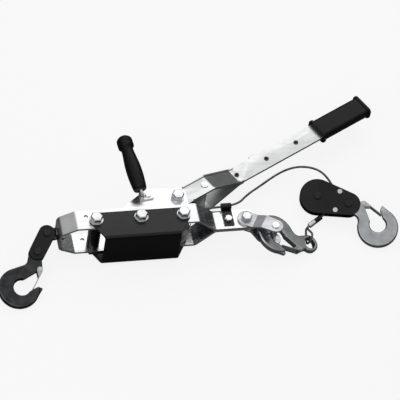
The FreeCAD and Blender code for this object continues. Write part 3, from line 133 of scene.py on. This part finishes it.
# Bare metal where an edge stands out, broken up by a noise
def worn(tree, colour, rubbed, breakUp):
    edges = tree.nodes.new("ShaderNodeNewGeometry")
    rub = tree.nodes.new("ShaderNodeMapRange")
    rub.inputs["From Min"].default_value = rubbed["from"]
    rub.inputs["From Max"].default_value = rubbed["to"]
    tree.links.new(edges.outputs["Pointiness"], rub.inputs["Value"])
    patchy = tree.nodes.new("ShaderNodeMath")
    patchy.operation = "MULTIPLY"
    tree.links.new(rub.outputs["Result"], patchy.inputs[0])
    tree.links.new(breakUp, patchy.inputs[1])
    mix = tree.nodes.new("ShaderNodeMix")
    mix.data_type = "RGBA"
    tree.links.new(patchy.outputs[0], mix.inputs["Factor"])
    tree.links.new(colour, mix.inputs["A"])
    mix.inputs["B"].default_value = (*rubbed["tone"], 1)
    return mix.outputs["Result"]


# Zinc plate: a soft cloud, brush streaks and a fine grain

zinc = {"cloudScale": 22.0, "brushScale": 60.0, "grainScale": 500.0, "brushBump": (0.05, 0.0002),
        "grainBump": (0.02, 0.0001), "rubbed": {"from": 0.52, "to": 0.62, "tone": (0.93, 0.93, 0.93)}}
brightZinc = {"dark": (0.72, 0.73, 0.75), "light": (0.9, 0.91, 0.92), "rough": (0.2, 0.32)}
satinZinc = {"dark": (0.62, 0.63, 0.65), "light": (0.84, 0.85, 0.86), "rough": (0.2, 0.34)}
barZinc = {"dark": (0.53, 0.55, 0.55), "light": (0.61, 0.63, 0.63), "rough": (0.3, 0.38)}
dullZinc = {"dark": (0.42, 0.43, 0.45), "light": (0.66, 0.67, 0.69), "rough": (0.3, 0.48)}
alongBar, alongArm, noStreaks = (0.15, 2.5, 2.5), (0.4, 2.0, 2.0), (1.0, 1.0, 1.0)


def zincFinish(name, look, streaks):
    material, tree, shader, place = startMaterial(name)
    cloud = noise(tree, place, zinc["cloudScale"])
    brushed = noise(tree, place, zinc["brushScale"], 3.0, streaks)
    grain = noise(tree, place, zinc["grainScale"], 2.0)
    colour = ramp(tree, cloud, [(0.3, look["dark"]), (0.62, look["light"])])
    shader.inputs["Metallic"].default_value = 1.0
    tree.links.new(worn(tree, colour, zinc["rubbed"], cloud), shader.inputs["Base Color"])
    tree.links.new(spread(tree, brushed, *look["rough"]), shader.inputs["Roughness"])
    under = bump(tree, shader, brushed, *zinc["brushBump"])
    bump(tree, shader, grain, *zinc["grainBump"], under)
    return material


# Forged steel: mottled, with a fine scale

forged = {"mottleScale": 55.0, "scaleScale": 240.0, "mottleBump": (0.1, 0.0004), "scaleBump": (0.05, 0.0002),
          "rubbed": {"from": 0.51, "to": 0.58, "tone": (0.8, 0.8, 0.81)}}
darkHook = {"dark": (0.035, 0.037, 0.04), "light": (0.075, 0.078, 0.083), "rough": (0.2, 0.3)}
brightHook = {"dark": (0.42, 0.45, 0.46), "light": (0.56, 0.59, 0.6), "rough": (0.2, 0.3)}


def forgedFinish(name, look):
    material, tree, shader, place = startMaterial(name)
    mottle = noise(tree, place, forged["mottleScale"], 6.0)
    scale = noise(tree, place, forged["scaleScale"], 4.0)
    colour = ramp(tree, mottle, [(0.32, look["dark"]), (0.66, look["light"])])
    shader.inputs["Metallic"].default_value = 1.0
    tree.links.new(worn(tree, colour, forged["rubbed"], mottle), shader.inputs["Base Color"])
    tree.links.new(spread(tree, mottle, *look["rough"]), shader.inputs["Roughness"])
    under = bump(tree, shader, mottle, *forged["mottleBump"])
    bump(tree, shader, scale, *forged["scaleBump"], under)
    return material


# Black paint with a thin gloss and an orange peel

paint = {"cloudScale": 18.0, "peelScale": 420.0, "peelBump": (0.08, 0.0002), "lighter": 1.7, "specular": 0.3,
         "gloss": 0.12, "glossRoughness": 0.18, "rubbed": {"from": 0.54, "to": 0.66, "tone": (0.2, 0.2, 0.2)}}
blackPaint = {"tone": (0.003, 0.003, 0.0033), "rough": (0.2, 0.32)}
blackedPin = {"tone": (0.012, 0.012, 0.013), "rough": (0.25, 0.4)}


def paintFinish(name, look):
    material, tree, shader, place = startMaterial(name)
    cloud = noise(tree, place, paint["cloudScale"], 5.0)
    peel = noise(tree, place, paint["peelScale"], 2.0)
    lighter = tuple(part * paint["lighter"] for part in look["tone"])
    colour = ramp(tree, cloud, [(0.3, look["tone"]), (0.7, lighter)])
    tree.links.new(worn(tree, colour, paint["rubbed"], cloud), shader.inputs["Base Color"])
    tree.links.new(spread(tree, cloud, *look["rough"]), shader.inputs["Roughness"])
    shader.inputs["Specular IOR Level"].default_value = paint["specular"]
    shader.inputs["Coat Weight"].default_value = paint["gloss"]
    shader.inputs["Coat Roughness"].default_value = paint["glossRoughness"]
    bump(tree, shader, peel, *paint["peelBump"])
    return material


# Black plastic of the grips, with a pebbled skin

plastic = {"tone": (0.0032, 0.0032, 0.0035), "cloudScale": 30.0, "pebbleScale": 700.0, "lighter": 1.9,
           "specular": 0.28, "rough": (0.36, 0.52), "pebbleBump": (0.3, 0.0004)}


def gripFinish(name):
    material, tree, shader, place = startMaterial(name)
    cloud = noise(tree, place, plastic["cloudScale"], 4.0)
    pebbles = noise(tree, place, plastic["pebbleScale"], 3.0)
    lighter = tuple(part * plastic["lighter"] for part in plastic["tone"])
    colour = ramp(tree, cloud, [(0.3, plastic["tone"]), (0.7, lighter)])
    tree.links.new(colour, shader.inputs["Base Color"])
    shader.inputs["Specular IOR Level"].default_value = plastic["specular"]
    tree.links.new(spread(tree, pebbles, *plastic["rough"]), shader.inputs["Roughness"])
    bump(tree, shader, pebbles, *plastic["pebbleBump"])
    return material


# Rope wire, stained by grease

wire = {"dark": (0.1, 0.1, 0.105), "light": (0.3, 0.3, 0.31), "wireScale": 900.0, "stainScale": 90.0,
        "metallic": 0.9, "rough": (0.32, 0.55), "wireBump": (0.4, 0.0003)}


def ropeFinish(name):
    material, tree, shader, place = startMaterial(name)
    wires = noise(tree, place, wire["wireScale"], 2.0)
    stain = noise(tree, place, wire["stainScale"], 4.0)
    shader.inputs["Metallic"].default_value = wire["metallic"]
    colour = ramp(tree, stain, [(0.3, wire["dark"]), (0.7, wire["light"])])
    tree.links.new(colour, shader.inputs["Base Color"])
    tree.links.new(spread(tree, stain, *wire["rough"]), shader.inputs["Roughness"])
    bump(tree, shader, wires, *wire["wireBump"])
    return material


# One finish for each material slot, and for the nodes that look different from the rest of their slot

finishes = {
    "zinc_frame": zincFinish("zincFrame", brightZinc, alongBar),
    "zinc_fastener": zincFinish("zincFastener", satinZinc, noStreaks),
    "zinc_anchor": zincFinish("zincAnchor", dullZinc, alongArm),
    "hook_steel": forgedFinish("darkForging", darkHook),
    "latch_steel": zincFinish("latchSpringSteel", dullZinc, noStreaks),
    "black_paint": paintFinish("blackPaint", blackPaint),
    "black_grip": gripFinish("blackGrip"),
    "rope_steel": ropeFinish("wireRope"),
    "ferrule_zinc": zincFinish("pressedFerrule", brightZinc, noStreaks),
    "sheave_steel": zincFinish("sheaveSteel", dullZinc, noStreaks),
}
brightForging = forgedFinish("brightForging", brightHook)
leverZinc = zincFinish("leverZinc", barZinc, alongBar)
pinBlack = paintFinish("blackedPins", blackedPin)
ownFinish = {
    "block_hook": brightForging,
    "cable_hook": brightForging,
    "lever_strap_upper": leverZinc,
    "lever_strap_lower": leverZinc,
    "link_pins": pinBlack,
    "block_pins": pinBlack,
    "lever_rivets": pinBlack,
}
print("finishes ready")


# Floor, light and background

studio = {"floorHalf": 6.0, "floorTone": 0.16, "paleTone": 0.95, "paleGlow": 0.86, "skyStrength": 0.62}
skyTones = [(0.0, 0.02), (0.25, 0.08), (0.5, 0.5), (0.85, 1.0)]   # by height above the horizon
softboxes = {
    "keySoftbox": {"at": (-0.7, -0.8, 1.3), "width": 1.0, "height": 0.8, "power": 2.8},
    "backSoftbox": {"at": (0.3, 1.0, 1.2), "width": 1.6, "height": 0.9, "power": 4.0},
}


def layFloor():
    mesh = bpy.data.meshes.new("studioFloor")
    half = studio["floorHalf"]
    corners = [(-half, -half, 0), (half, -half, 0), (half, half, 0), (-half, half, 0)]
    mesh.from_pydata(corners, [], [(0, 1, 2, 3)])
    floor = bpy.data.objects.new("studioFloor", mesh)
    scene.collection.objects.link(floor)
    material = bpy.data.materials.new("paleFloor")
    material.use_nodes = True
    tree = material.node_tree
    tree.nodes.clear()
    rays = tree.nodes.new("ShaderNodeLightPath")
    plain = tree.nodes.new("ShaderNodeBsdfDiffuse")
    plain.inputs["Color"].default_value = (studio["floorTone"],) * 3 + (1,)
    pale = tree.nodes.new("ShaderNodeBsdfDiffuse")
    pale.inputs["Color"].default_value = (studio["paleTone"],) * 3 + (1,)
    white = tree.nodes.new("ShaderNodeEmission")
    white.inputs["Strength"].default_value = 1.0
    shown = tree.nodes.new("ShaderNodeMixShader")
    shown.inputs["Fac"].default_value = studio["paleGlow"]
    tree.links.new(pale.outputs[0], shown.inputs[1])
    tree.links.new(white.outputs[0], shown.inputs[2])
    pick = tree.nodes.new("ShaderNodeMixShader")
    tree.links.new(rays.outputs["Is Camera Ray"], pick.inputs["Fac"])
    tree.links.new(plain.outputs[0], pick.inputs[1])
    tree.links.new(shown.outputs[0], pick.inputs[2])
    out = tree.nodes.new("ShaderNodeOutputMaterial")
    tree.links.new(pick.outputs[0], out.inputs["Surface"])
    mesh.materials.append(material)


# Lamps that face the middle of the floor
def softbox(name, box):
    light = bpy.data.lights.new(name, "AREA")
    light.shape = "RECTANGLE"
    light.size = box["width"]
    light.size_y = box["height"]
    light.energy = box["power"]
    lamp = bpy.data.objects.new(name, light)
    scene.collection.objects.link(lamp)
    turn = (-Vector(box["at"])).to_track_quat("-Z", "Y").to_matrix().to_4x4()
    lamp.matrix_world = Matrix.Translation(box["at"]) @ turn


def lightSky():
    world = bpy.data.worlds.new("studioSky")
    scene.world = world
    world.use_nodes = True
    tree = world.node_tree
    tree.nodes.clear()
    place = tree.nodes.new("ShaderNodeTexCoord")
    split = tree.nodes.new("ShaderNodeSeparateXYZ")
    tree.links.new(place.outputs["Generated"], split.inputs[0])
    sky = ramp(tree, split.outputs["Z"], [(height, (tone,) * 3) for height, tone in skyTones])
    rays = tree.nodes.new("ShaderNodeLightPath")
    dim = tree.nodes.new("ShaderNodeBackground")
    dim.inputs["Strength"].default_value = studio["skyStrength"]
    tree.links.new(sky, dim.inputs["Color"])
    white = tree.nodes.new("ShaderNodeBackground")
    pick = tree.nodes.new("ShaderNodeMixShader")
    tree.links.new(rays.outputs["Is Camera Ray"], pick.inputs["Fac"])
    tree.links.new(dim.outputs[0], pick.inputs[1])
    tree.links.new(white.outputs[0], pick.inputs[2])
    out = tree.nodes.new("ShaderNodeOutputWorld")
    tree.links.new(pick.outputs[0], out.inputs["Surface"])


scene.view_settings.view_transform = "Standard"
layFloor()
lightSky()
for name, box in softboxes.items():
    softbox(name, box)


# Pieces that ride on the frame's bodies

merge = {"distance": 0.000004, "flatAngle": 0.6}
bevel = {"angle": 32, "boltAngle": 20}
dressed = set()


def settle(piece, body, node):
    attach(piece, body)
    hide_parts(node)
    dressed.add(node)
    return piece


def addPiece(name, mesh, material):
    mesh.name = name
    mesh.materials.clear()
    mesh.materials.append(material)
    piece = bpy.data.objects.new(name, mesh)
    scene.collection.objects.link(piece)
    return piece


# The evaluated shape of an object as a plain mesh
def bake(source, name):
    bpy.context.view_layer.update()
    shape = source.evaluated_get(bpy.context.evaluated_depsgraph_get())
    mesh = bpy.data.meshes.new_from_object(shape)
    mesh.name = name
    bpy.data.objects.remove(source)
    return mesh


def mergedCopy(node):
    mesh = nodes[node].data.copy()
    work = bmesh.new()
    work.from_mesh(mesh)
    bmesh.ops.remove_doubles(work, verts=work.verts, dist=merge["distance"])
    flat = math.radians(merge["flatAngle"])
    bmesh.ops.dissolve_limit(work, angle_limit=flat, verts=work.verts, edges=work.edges)
    for face in work.faces:
        face.smooth = True
    work.to_mesh(mesh)
    work.free()
    return mesh


def workCopy(node):
    return addPiece(node + "_work", mergedCopy(node), finishes[slotOf[node]])


def finishedPiece(node, holder):
    finish = ownFinish.get(node, finishes[slotOf[node]])
    piece = addPiece(node + "_piece", bake(holder, node), finish)
    return settle(piece, bodyOf[node], node)


def addBevel(holder, width, segments, angle):
    edge = holder.modifiers.new("edge", "BEVEL")
    edge.width = width
    edge.segments = segments
    edge.limit_method = "ANGLE"
    edge.angle_limit = math.radians(angle)
    return edge


# The CAD shape with its edges broken
def softenedPiece(node, width, segments):
    holder = workCopy(node)
    addBevel(holder, width, segments, bevel["angle"]).miter_outer = "MITER_ARC"
    shading = holder.modifiers.new("shading", "WEIGHTED_NORMAL")
    shading.keep_sharp = True
    return finishedPiece(node, holder)


# The CAD shape with the soft skin of a forging
def forgedPiece(node, voxel):
    holder = workCopy(node)
    skin = holder.modifiers.new("skin", "REMESH")
    skin.mode = "VOXEL"
    skin.voxel_size = voxel
    skin.use_smooth_shade = True
    soft = holder.modifiers.new("soft", "SMOOTH")
    soft.factor = 0.5
    soft.iterations = forgings["rounds"]
    return finishedPiece(node, holder)


# Geometry Nodes trees

sides = {"strand": 7, "rod": 32, "hex": 6}
crownTaper = 0.84


def startTree(name, inputs):
    tree = bpy.data.node_groups.new(name, "GeometryNodeTree")
    tree.interface.new_socket(name="Geometry", in_out="INPUT", socket_type="NodeSocketGeometry")
    for label, kind in inputs:
        tree.interface.new_socket(name=label, in_out="INPUT", socket_type=kind)
    tree.interface.new_socket(name="Geometry", in_out="OUTPUT", socket_type="NodeSocketGeometry")
    return tree, tree.nodes.new("NodeGroupInput"), tree.nodes.new("NodeGroupOutput")


def mathNode(tree, operation, first, second):
    node = tree.nodes.new("ShaderNodeMath")
    node.operation = operation
    for index, value in enumerate((first, second)):
        if isinstance(value, (int, float)):
            node.inputs[index].default_value = value
        else:
            tree.links.new(value, node.inputs[index])
    return node.outputs[0]


def finishTree(tree, geometry, group, out):
    real = tree.nodes.new("GeometryNodeRealizeInstances")
    paint = tree.nodes.new("GeometryNodeSetMaterial")
    tree.links.new(geometry, real.inputs[0])
    tree.links.new(real.outputs[0], paint.inputs["Geometry"])
    tree.links.new(group.outputs["Material"], paint.inputs["Material"])
    tree.links.new(paint.outputs[0], out.inputs[0])


# Strands laid round a core along a curve
def strandTree():
    tree, group, out = startTree("ropeStrands", [
        ("Strands", "NodeSocketInt"), ("Offset", "NodeSocketFloat"), ("Strand Radius", "NodeSocketFloat"),
        ("Core Radius", "NodeSocketFloat"), ("Lay Length", "NodeSocketFloat"), ("Step", "NodeSocketFloat"),
        ("Material", "NodeSocketMaterial")])
    even = tree.nodes.new("GeometryNodeResampleCurve")
    even.mode = "LENGTH"
    tree.links.new(group.outputs["Geometry"], even.inputs["Curve"])
    tree.links.new(group.outputs["Step"], even.inputs["Length"])
    copies = tree.nodes.new("GeometryNodeDuplicateElements")
    copies.domain = "SPLINE"
    tree.links.new(even.outputs[0], copies.inputs["Geometry"])
    tree.links.new(group.outputs["Strands"], copies.inputs["Amount"])
    along = tree.nodes.new("GeometryNodeSplineParameter")
    turned = mathNode(tree, "DIVIDE", along.outputs["Length"], group.outputs["Lay Length"])
    share = mathNode(tree, "DIVIDE", copies.outputs["Duplicate Index"], group.outputs["Strands"])
    angle = mathNode(tree, "MULTIPLY", mathNode(tree, "ADD", turned, share), 2 * math.pi)
    normal = tree.nodes.new("GeometryNodeInputNormal")
    tangent = tree.nodes.new("GeometryNodeInputTangent")
    reach = tree.nodes.new("ShaderNodeVectorMath")
    reach.operation = "SCALE"
    tree.links.new(normal.outputs[0], reach.inputs[0])
    tree.links.new(group.outputs["Offset"], reach.inputs["Scale"])
    twist = tree.nodes.new("ShaderNodeVectorRotate")
    tree.links.new(reach.outputs[0], twist.inputs["Vector"])
    tree.links.new(tangent.outputs[0], twist.inputs["Axis"])
    tree.links.new(angle, twist.inputs["Angle"])
    move = tree.nodes.new("GeometryNodeSetPosition")
    tree.links.new(copies.outputs["Geometry"], move.inputs["Geometry"])
    tree.links.new(twist.outputs[0], move.inputs["Offset"])
    tubes = []
    for line, radius in ((move.outputs[0], "Strand Radius"), (even.outputs[0], "Core Radius")):
        ring = tree.nodes.new("GeometryNodeCurvePrimitiveCircle")
        ring.inputs["Resolution"].default_value = sides["strand"]
        tree.links.new(group.outputs[radius], ring.inputs["Radius"])
        skin = tree.nodes.new("GeometryNodeCurveToMesh")
        skin.inputs["Fill Caps"].default_value = True
        tree.links.new(line, skin.inputs["Curve"])
        tree.links.new(ring.outputs[0], skin.inputs["Profile Curve"])
        tubes.append(skin.outputs[0])
    both = tree.nodes.new("GeometryNodeJoinGeometry")
    for tube in tubes:
        tree.links.new(tube, both.inputs[0])
    smooth = tree.nodes.new("GeometryNodeSetShadeSmooth")
    tree.links.new(both.outputs[0], smooth.inputs[0])
    finishTree(tree, smooth.outputs[0], group, out)
    return tree


# Rods with crowned hexagon heads at points
def boltTree():
    tree, group, out = startTree("hexBolts", [
        ("Rod Radius", "NodeSocketFloat"), ("Rod Length", "NodeSocketFloat"),
        ("Hex Radius", "NodeSocketFloat"), ("Hex Height", "NodeSocketFloat"),
        ("Crown", "NodeSocketFloat"), ("Material", "NodeSocketMaterial")])
    rod = tree.nodes.new("GeometryNodeMeshCylinder")
    rod.inputs["Vertices"].default_value = sides["rod"]
    tree.links.new(group.outputs["Rod Radius"], rod.inputs["Radius"])
    tree.links.new(group.outputs["Rod Length"], rod.inputs["Depth"])
    rodShift = tree.nodes.new("ShaderNodeCombineXYZ")
    tree.links.new(mathNode(tree, "MULTIPLY", group.outputs["Rod Length"], -0.5), rodShift.inputs["Z"])
    rodMove = tree.nodes.new("GeometryNodeTransform")
    tree.links.new(rod.outputs["Mesh"], rodMove.inputs["Geometry"])
    tree.links.new(rodShift.outputs[0], rodMove.inputs["Translation"])
    flats = mathNode(tree, "SUBTRACT", group.outputs["Hex Height"], group.outputs["Crown"])
    head = tree.nodes.new("GeometryNodeMeshCylinder")
    head.inputs["Vertices"].default_value = sides["hex"]
    tree.links.new(group.outputs["Hex Radius"], head.inputs["Radius"])
    tree.links.new(flats, head.inputs["Depth"])
    headShift = tree.nodes.new("ShaderNodeCombineXYZ")
    tree.links.new(mathNode(tree, "MULTIPLY", flats, 0.5), headShift.inputs["Z"])
    headMove = tree.nodes.new("GeometryNodeTransform")
    tree.links.new(head.outputs["Mesh"], headMove.inputs["Geometry"])
    tree.links.new(headShift.outputs[0], headMove.inputs["Translation"])
    rise = tree.nodes.new("GeometryNodeExtrudeMesh")
    tree.links.new(headMove.outputs[0], rise.inputs["Mesh"])
    tree.links.new(head.outputs["Top"], rise.inputs["Selection"])
    tree.links.new(group.outputs["Crown"], rise.inputs["Offset Scale"])
    crown = tree.nodes.new("GeometryNodeScaleElements")
    crown.inputs["Scale"].default_value = crownTaper
    tree.links.new(rise.outputs["Mesh"], crown.inputs["Geometry"])
    tree.links.new(rise.outputs["Top"], crown.inputs["Selection"])
    both = tree.nodes.new("GeometryNodeJoinGeometry")
    tree.links.new(rodMove.outputs[0], both.inputs[0])
    tree.links.new(crown.outputs[0], both.inputs[0])
    scatter = tree.nodes.new("GeometryNodeInstanceOnPoints")
    tree.links.new(group.outputs["Geometry"], scatter.inputs["Points"])
    tree.links.new(both.outputs[0], scatter.inputs["Instance"])
    finishTree(tree, scatter.outputs[0], group, out)
    return tree


def runTree(tree, holder, values, name):
    step = holder.modifiers.new("build", "NODES")
    step.node_group = tree
    sockets = {item.name: item.identifier for item in tree.interface.items_tree
               if item.item_type == "SOCKET" and item.in_out == "INPUT"}
    for label, value in values.items():
        step[sockets[label]] = value
    return bake(holder, name)


ropeStrands = strandTree()
hexBolts = boltTree()


# Wire rope: the free run from the drum to the snatch block, and its eye round the cable hook's ring

rope = {"diameter": 0.005, "strands": 6, "layLength": 0.032, "step": 0.0016, "resolution": 16,
        "strandOffset": 0.655, "strandRadius": 0.345, "coreRadius": 0.5}   # shares of the rope's radius
freeRun = {
    "length": 0.4676,
    "points": [
        (-0.0178, -0.0615, 0.0755), (0.0171, -0.0576, 0.0755), (0.0911, -0.0538, 0.0752),
        (0.1191, -0.0261, 0.0748), (0.1489, -0.0062, 0.0740), (0.1879, 0.0214, 0.0730),
        (0.2162, 0.0373, 0.0720), (0.2399, 0.0446, 0.0710), (0.2588, 0.0456, 0.0700),
        (0.2770, 0.0421, 0.0690), (0.2928, 0.0352, 0.0670), (0.3071, 0.0224, 0.0625),
        (0.3238, -0.0017, 0.0466), (0.3119, -0.0296, 0.0344), (0.2981, -0.0517, 0.0240),
        (0.2863, -0.0580, 0.0198),
    ],
}
ropeEye = {
    "length": 0.1264,
    "points": [
        (0.2574, -0.0745, 0.0121), (0.2506, -0.0790, 0.0115), (0.2526, -0.0920, 0.0185),
        (0.2557, -0.1078, 0.0266), (0.2528, -0.1176, 0.0259), (0.2479, -0.1232, 0.0186),
        (0.2441, -0.1214, 0.0093), (0.2437, -0.1131, 0.0035), (0.2462, -0.1018, 0.0036),
        (0.2482, -0.0880, 0.0042), (0.2508, -0.0757, 0.0050), (0.2578, -0.0719, 0.0071),
    ],
}


def routeCurve(name, points):
    curve = bpy.data.curves.new(name, "CURVE")
    curve.dimensions = "3D"
    curve.resolution_u = rope["resolution"]
    spline = curve.splines.new("NURBS")
    spline.points.add(len(points) - 1)
    for point, place in zip(spline.points, points):
        point.co = (*place, 1)
    spline.order_u = 3
    spline.use_endpoint_u = True
    route = bpy.data.objects.new(name, curve)
    scene.collection.objects.link(route)
    return route


def routePath(route):
    bpy.context.view_layer.update()
    line = bpy.data.meshes.new_from_object(route.evaluated_get(bpy.context.evaluated_depsgraph_get()))
    return [tuple(vertex.co) for vertex in line.vertices]


def strandedMesh(name, route, radius, layLength):
    return runTree(ropeStrands, route, {
        "Strands": rope["strands"],
        "Offset": radius * rope["strandOffset"],
        "Strand Radius": radius * rope["strandRadius"],
        "Core Radius": radius * rope["coreRadius"],
        "Lay Length": layLength,
        "Step": rope["step"],
        "Material": finishes["rope_steel"],
    }, name)


ropeRadius = rope["diameter"] / 2
freeRoute = routeCurve("free_rope_route", freeRun["points"])
freePath = routePath(freeRoute)
freeRope = addPiece("free_rope", strandedMesh("free_rope", freeRoute, ropeRadius, rope["layLength"]),
                    finishes["rope_steel"])
settle(freeRope, "frame", "rope_span")
eyeRoute = routeCurve("rope_eye_route", ropeEye["points"])
eyePath = routePath(eyeRoute)
eyeRope = addPiece("rope_eye_loop", strandedMesh("rope_eye_loop", eyeRoute, ropeRadius, rope["layLength"]),
                   finishes["rope_steel"])
settle(eyeRope, "frame", "rope_eye")
ferruleEdge = (0.0009, 3)
ferrules = [softenedPiece(node, *ferruleEdge) for node in ("ferrule_black", "ferrule_steel")]

# The rope on the drum: the outer turns, and the layer under them

axle = (-0.0409, -0.0411)
coils = {
    "rope_winding": {"name": "rope_winding_wires", "wireRadius": ropeRadius, "radius": 0.0228,
                     "pitch": 0.00555, "turns": 6.5, "lastAngle": -83.7, "lastHeight": 0.0755},
    "rope_inner_layers": {"name": "rope_under_layer", "wireRadius": 0.0021, "radius": 0.0181,
                          "pitch": 0.0043, "turns": 9.0, "lastAngle": 0.0, "lastHeight": 0.0785},
}
coilLook = {"layLength": 0.024, "pointsPerTurn": 24}


def coilRoute(name, coil):
    points = []
    count = int(coil["turns"] * coilLook["pointsPerTurn"])
    for index in range(count + 1):
        back = coil["turns"] * (index / count - 1)
        angle = math.radians(coil["lastAngle"] + 360 * back)
        points.append((axle[0] + coil["radius"] * math.cos(angle), axle[1] + coil["radius"] * math.sin(angle),
                       coil["lastHeight"] + coil["pitch"] * back))
    return routeCurve(name, points)


for node, coil in coils.items():
    route = coilRoute(node + "_route", coil)
    mesh = strandedMesh(coil["name"], route, coil["wireRadius"], coilLook["layLength"])
    settle(addPiece(coil["name"], mesh, finishes["rope_steel"]), "drum", node)
print("rope ready")


# Hex bolts

boltEdge = {"width": 0.0005, "segments": 2, "crownShare": 0.18}
bolts = {
    "frame_bolts": {"at": [(-0.2279, -0.0911), (-0.1299, -0.0911), (-0.0369, -0.0911)], "low": 0.0,
                    "head": 0.106, "rod": 0.008, "hex": 0.0139, "height": 0.011},
    "axle_bolt": {"at": [(-0.0409, -0.0411)], "low": 0.0, "head": 0.103, "rod": 0.008, "hex": 0.0139,
                  "height": 0.011},
    "guide_bolt": {"at": [(0.0661, -0.0881)], "low": 0.0492, "head": 0.0715, "rod": 0.005, "hex": 0.0092,
                   "height": 0.007},
    "anchor_bolt": {"at": [(0.1061, -0.0891)], "low": 0.042, "head": 0.0737, "rod": 0.007, "hex": 0.0122,
                    "height": 0.009},
}


def addBolts(node, bolt):
    dots = bpy.data.meshes.new(node + "_dots")
    dots.from_pydata([(x, y, bolt["head"]) for x, y in bolt["at"]], [], [])
    holder = addPiece(node + "_dots", dots, finishes["zinc_fastener"])
    mesh = runTree(hexBolts, holder, {
        "Rod Radius": bolt["rod"],
        "Rod Length": bolt["head"] - bolt["low"],
        "Hex Radius": bolt["hex"],
        "Hex Height": bolt["height"],
        "Crown": bolt["height"] * boltEdge["crownShare"],
        "Material": finishes["zinc_fastener"],
    }, node)
    holder = addPiece(node + "_work", mesh, finishes["zinc_fastener"])
    addBevel(holder, boltEdge["width"], boltEdge["segments"], bevel["boltAngle"])
    finishedPiece(node, holder)


for node, bolt in bolts.items():
    addBolts(node, bolt)
print("bolts ready")


# Side grip: a turned moulding with a collar and mould rings

sideGrip = {
    "start": (-0.12325, -0.02962, 0.1200),
    "way": (-0.1371, 0.9752, 0.1736),
    "segments": 64,
    "merge": 0.00002,
    "profile": [
        (0.0067, 0.0), (0.0132, 0.0), (0.0140, 0.0008), (0.0148, 0.004), (0.0158, 0.012), (0.0165, 0.022),
        (0.0171, 0.032), (0.0173, 0.042), (0.0171, 0.053), (0.0166, 0.063), (0.0154, 0.075),
        (0.0141, 0.086), (0.0133, 0.094), (0.0131, 0.099), (0.0136, 0.1025), (0.0158, 0.1048),
        (0.0172, 0.107), (0.0175, 0.111), (0.0174, 0.1146), (0.0169, 0.1152), (0.0174, 0.1158),
        (0.0174, 0.1216), (0.0166, 0.1258), (0.0148, 0.1285), (0.0105, 0.1322), (0.0055, 0.1336),
        (0.0001, 0.134),
    ],
}


def turnedPiece(name, look, finish):
    way = Vector(look["way"]).normalized()
    side = way.orthogonal().normalized()
    other = way.cross(side)
    start = Vector(look["start"])
    profile = look["profile"]
    segments = look["segments"]
    points = []
    for radius, height in profile:
        for index in range(segments):
            angle = 2 * math.pi * index / segments
            points.append(start + way * height + (side * math.cos(angle) + other * math.sin(angle)) * radius)
    faces = []
    for row in range(len(profile) - 1):
        for index in range(segments):
            following = (index + 1) % segments
            faces.append((row * segments + index, row * segments + following,
                          (row + 1) * segments + following, (row + 1) * segments + index))
    mesh = bpy.data.meshes.new(name)
    mesh.from_pydata(points, [], faces)
    work = bmesh.new()
    work.from_mesh(mesh)
    bmesh.ops.remove_doubles(work, verts=work.verts, dist=look["merge"])
    rims = [edge for edge in work.edges if edge.is_boundary]
    bmesh.ops.holes_fill(work, edges=rims, sides=0)
    bmesh.ops.recalc_face_normals(work, faces=work.faces)
    for face in work.faces:
        face.smooth = True
    work.to_mesh(mesh)
    work.free()
    return addPiece(name, mesh, finish)


grip = turnedPiece("side_grip", sideGrip, finishes["black_grip"])
settle(grip, "frame", "handle_grip")
print("side grip ready")


# Forgings, then everything else with its edges broken: edge width and segments

forgings = {
    "rounds": 10,
    "voxels": {"frame_hook": 0.0009, "block_hook": 0.0009, "cable_hook": 0.0009, "swivel_shank": 0.0008},
}
for node, voxel in forgings["voxels"].items():
    forgedPiece(node, voxel)
print("forgings ready")

fineEdge = (0.0003, 2)
edgeBreaks = {
    "frame_strap": (0.0009, 3),
    "guard_cover": (0.0006, 2),
    "lever_strap_upper": (0.0007, 2),
    "lever_strap_lower": (0.0007, 2),
    "lever_grip": (0.0018, 3),
    "handle_bracket": (0.0006, 2),
    "block_plate_upper": (0.0006, 2),
    "block_plate_lower": (0.0006, 2),
    "link_plate_upper": (0.0008, 3),
    "link_plate_lower": (0.0008, 3),
    "anchor_arm_upper": (0.0008, 3),
    "anchor_arm_lower": (0.0008, 3),
    "block_pins": (0.0009, 3),
    "link_pins": (0.0009, 3),
    "block_spacers": (0.0005, 2),
}
for node in sorted(set(nodes) - dressed):
    softenedPiece(node, *edgeBreaks.get(node, fineEdge))

bpy.context.view_layer.update()
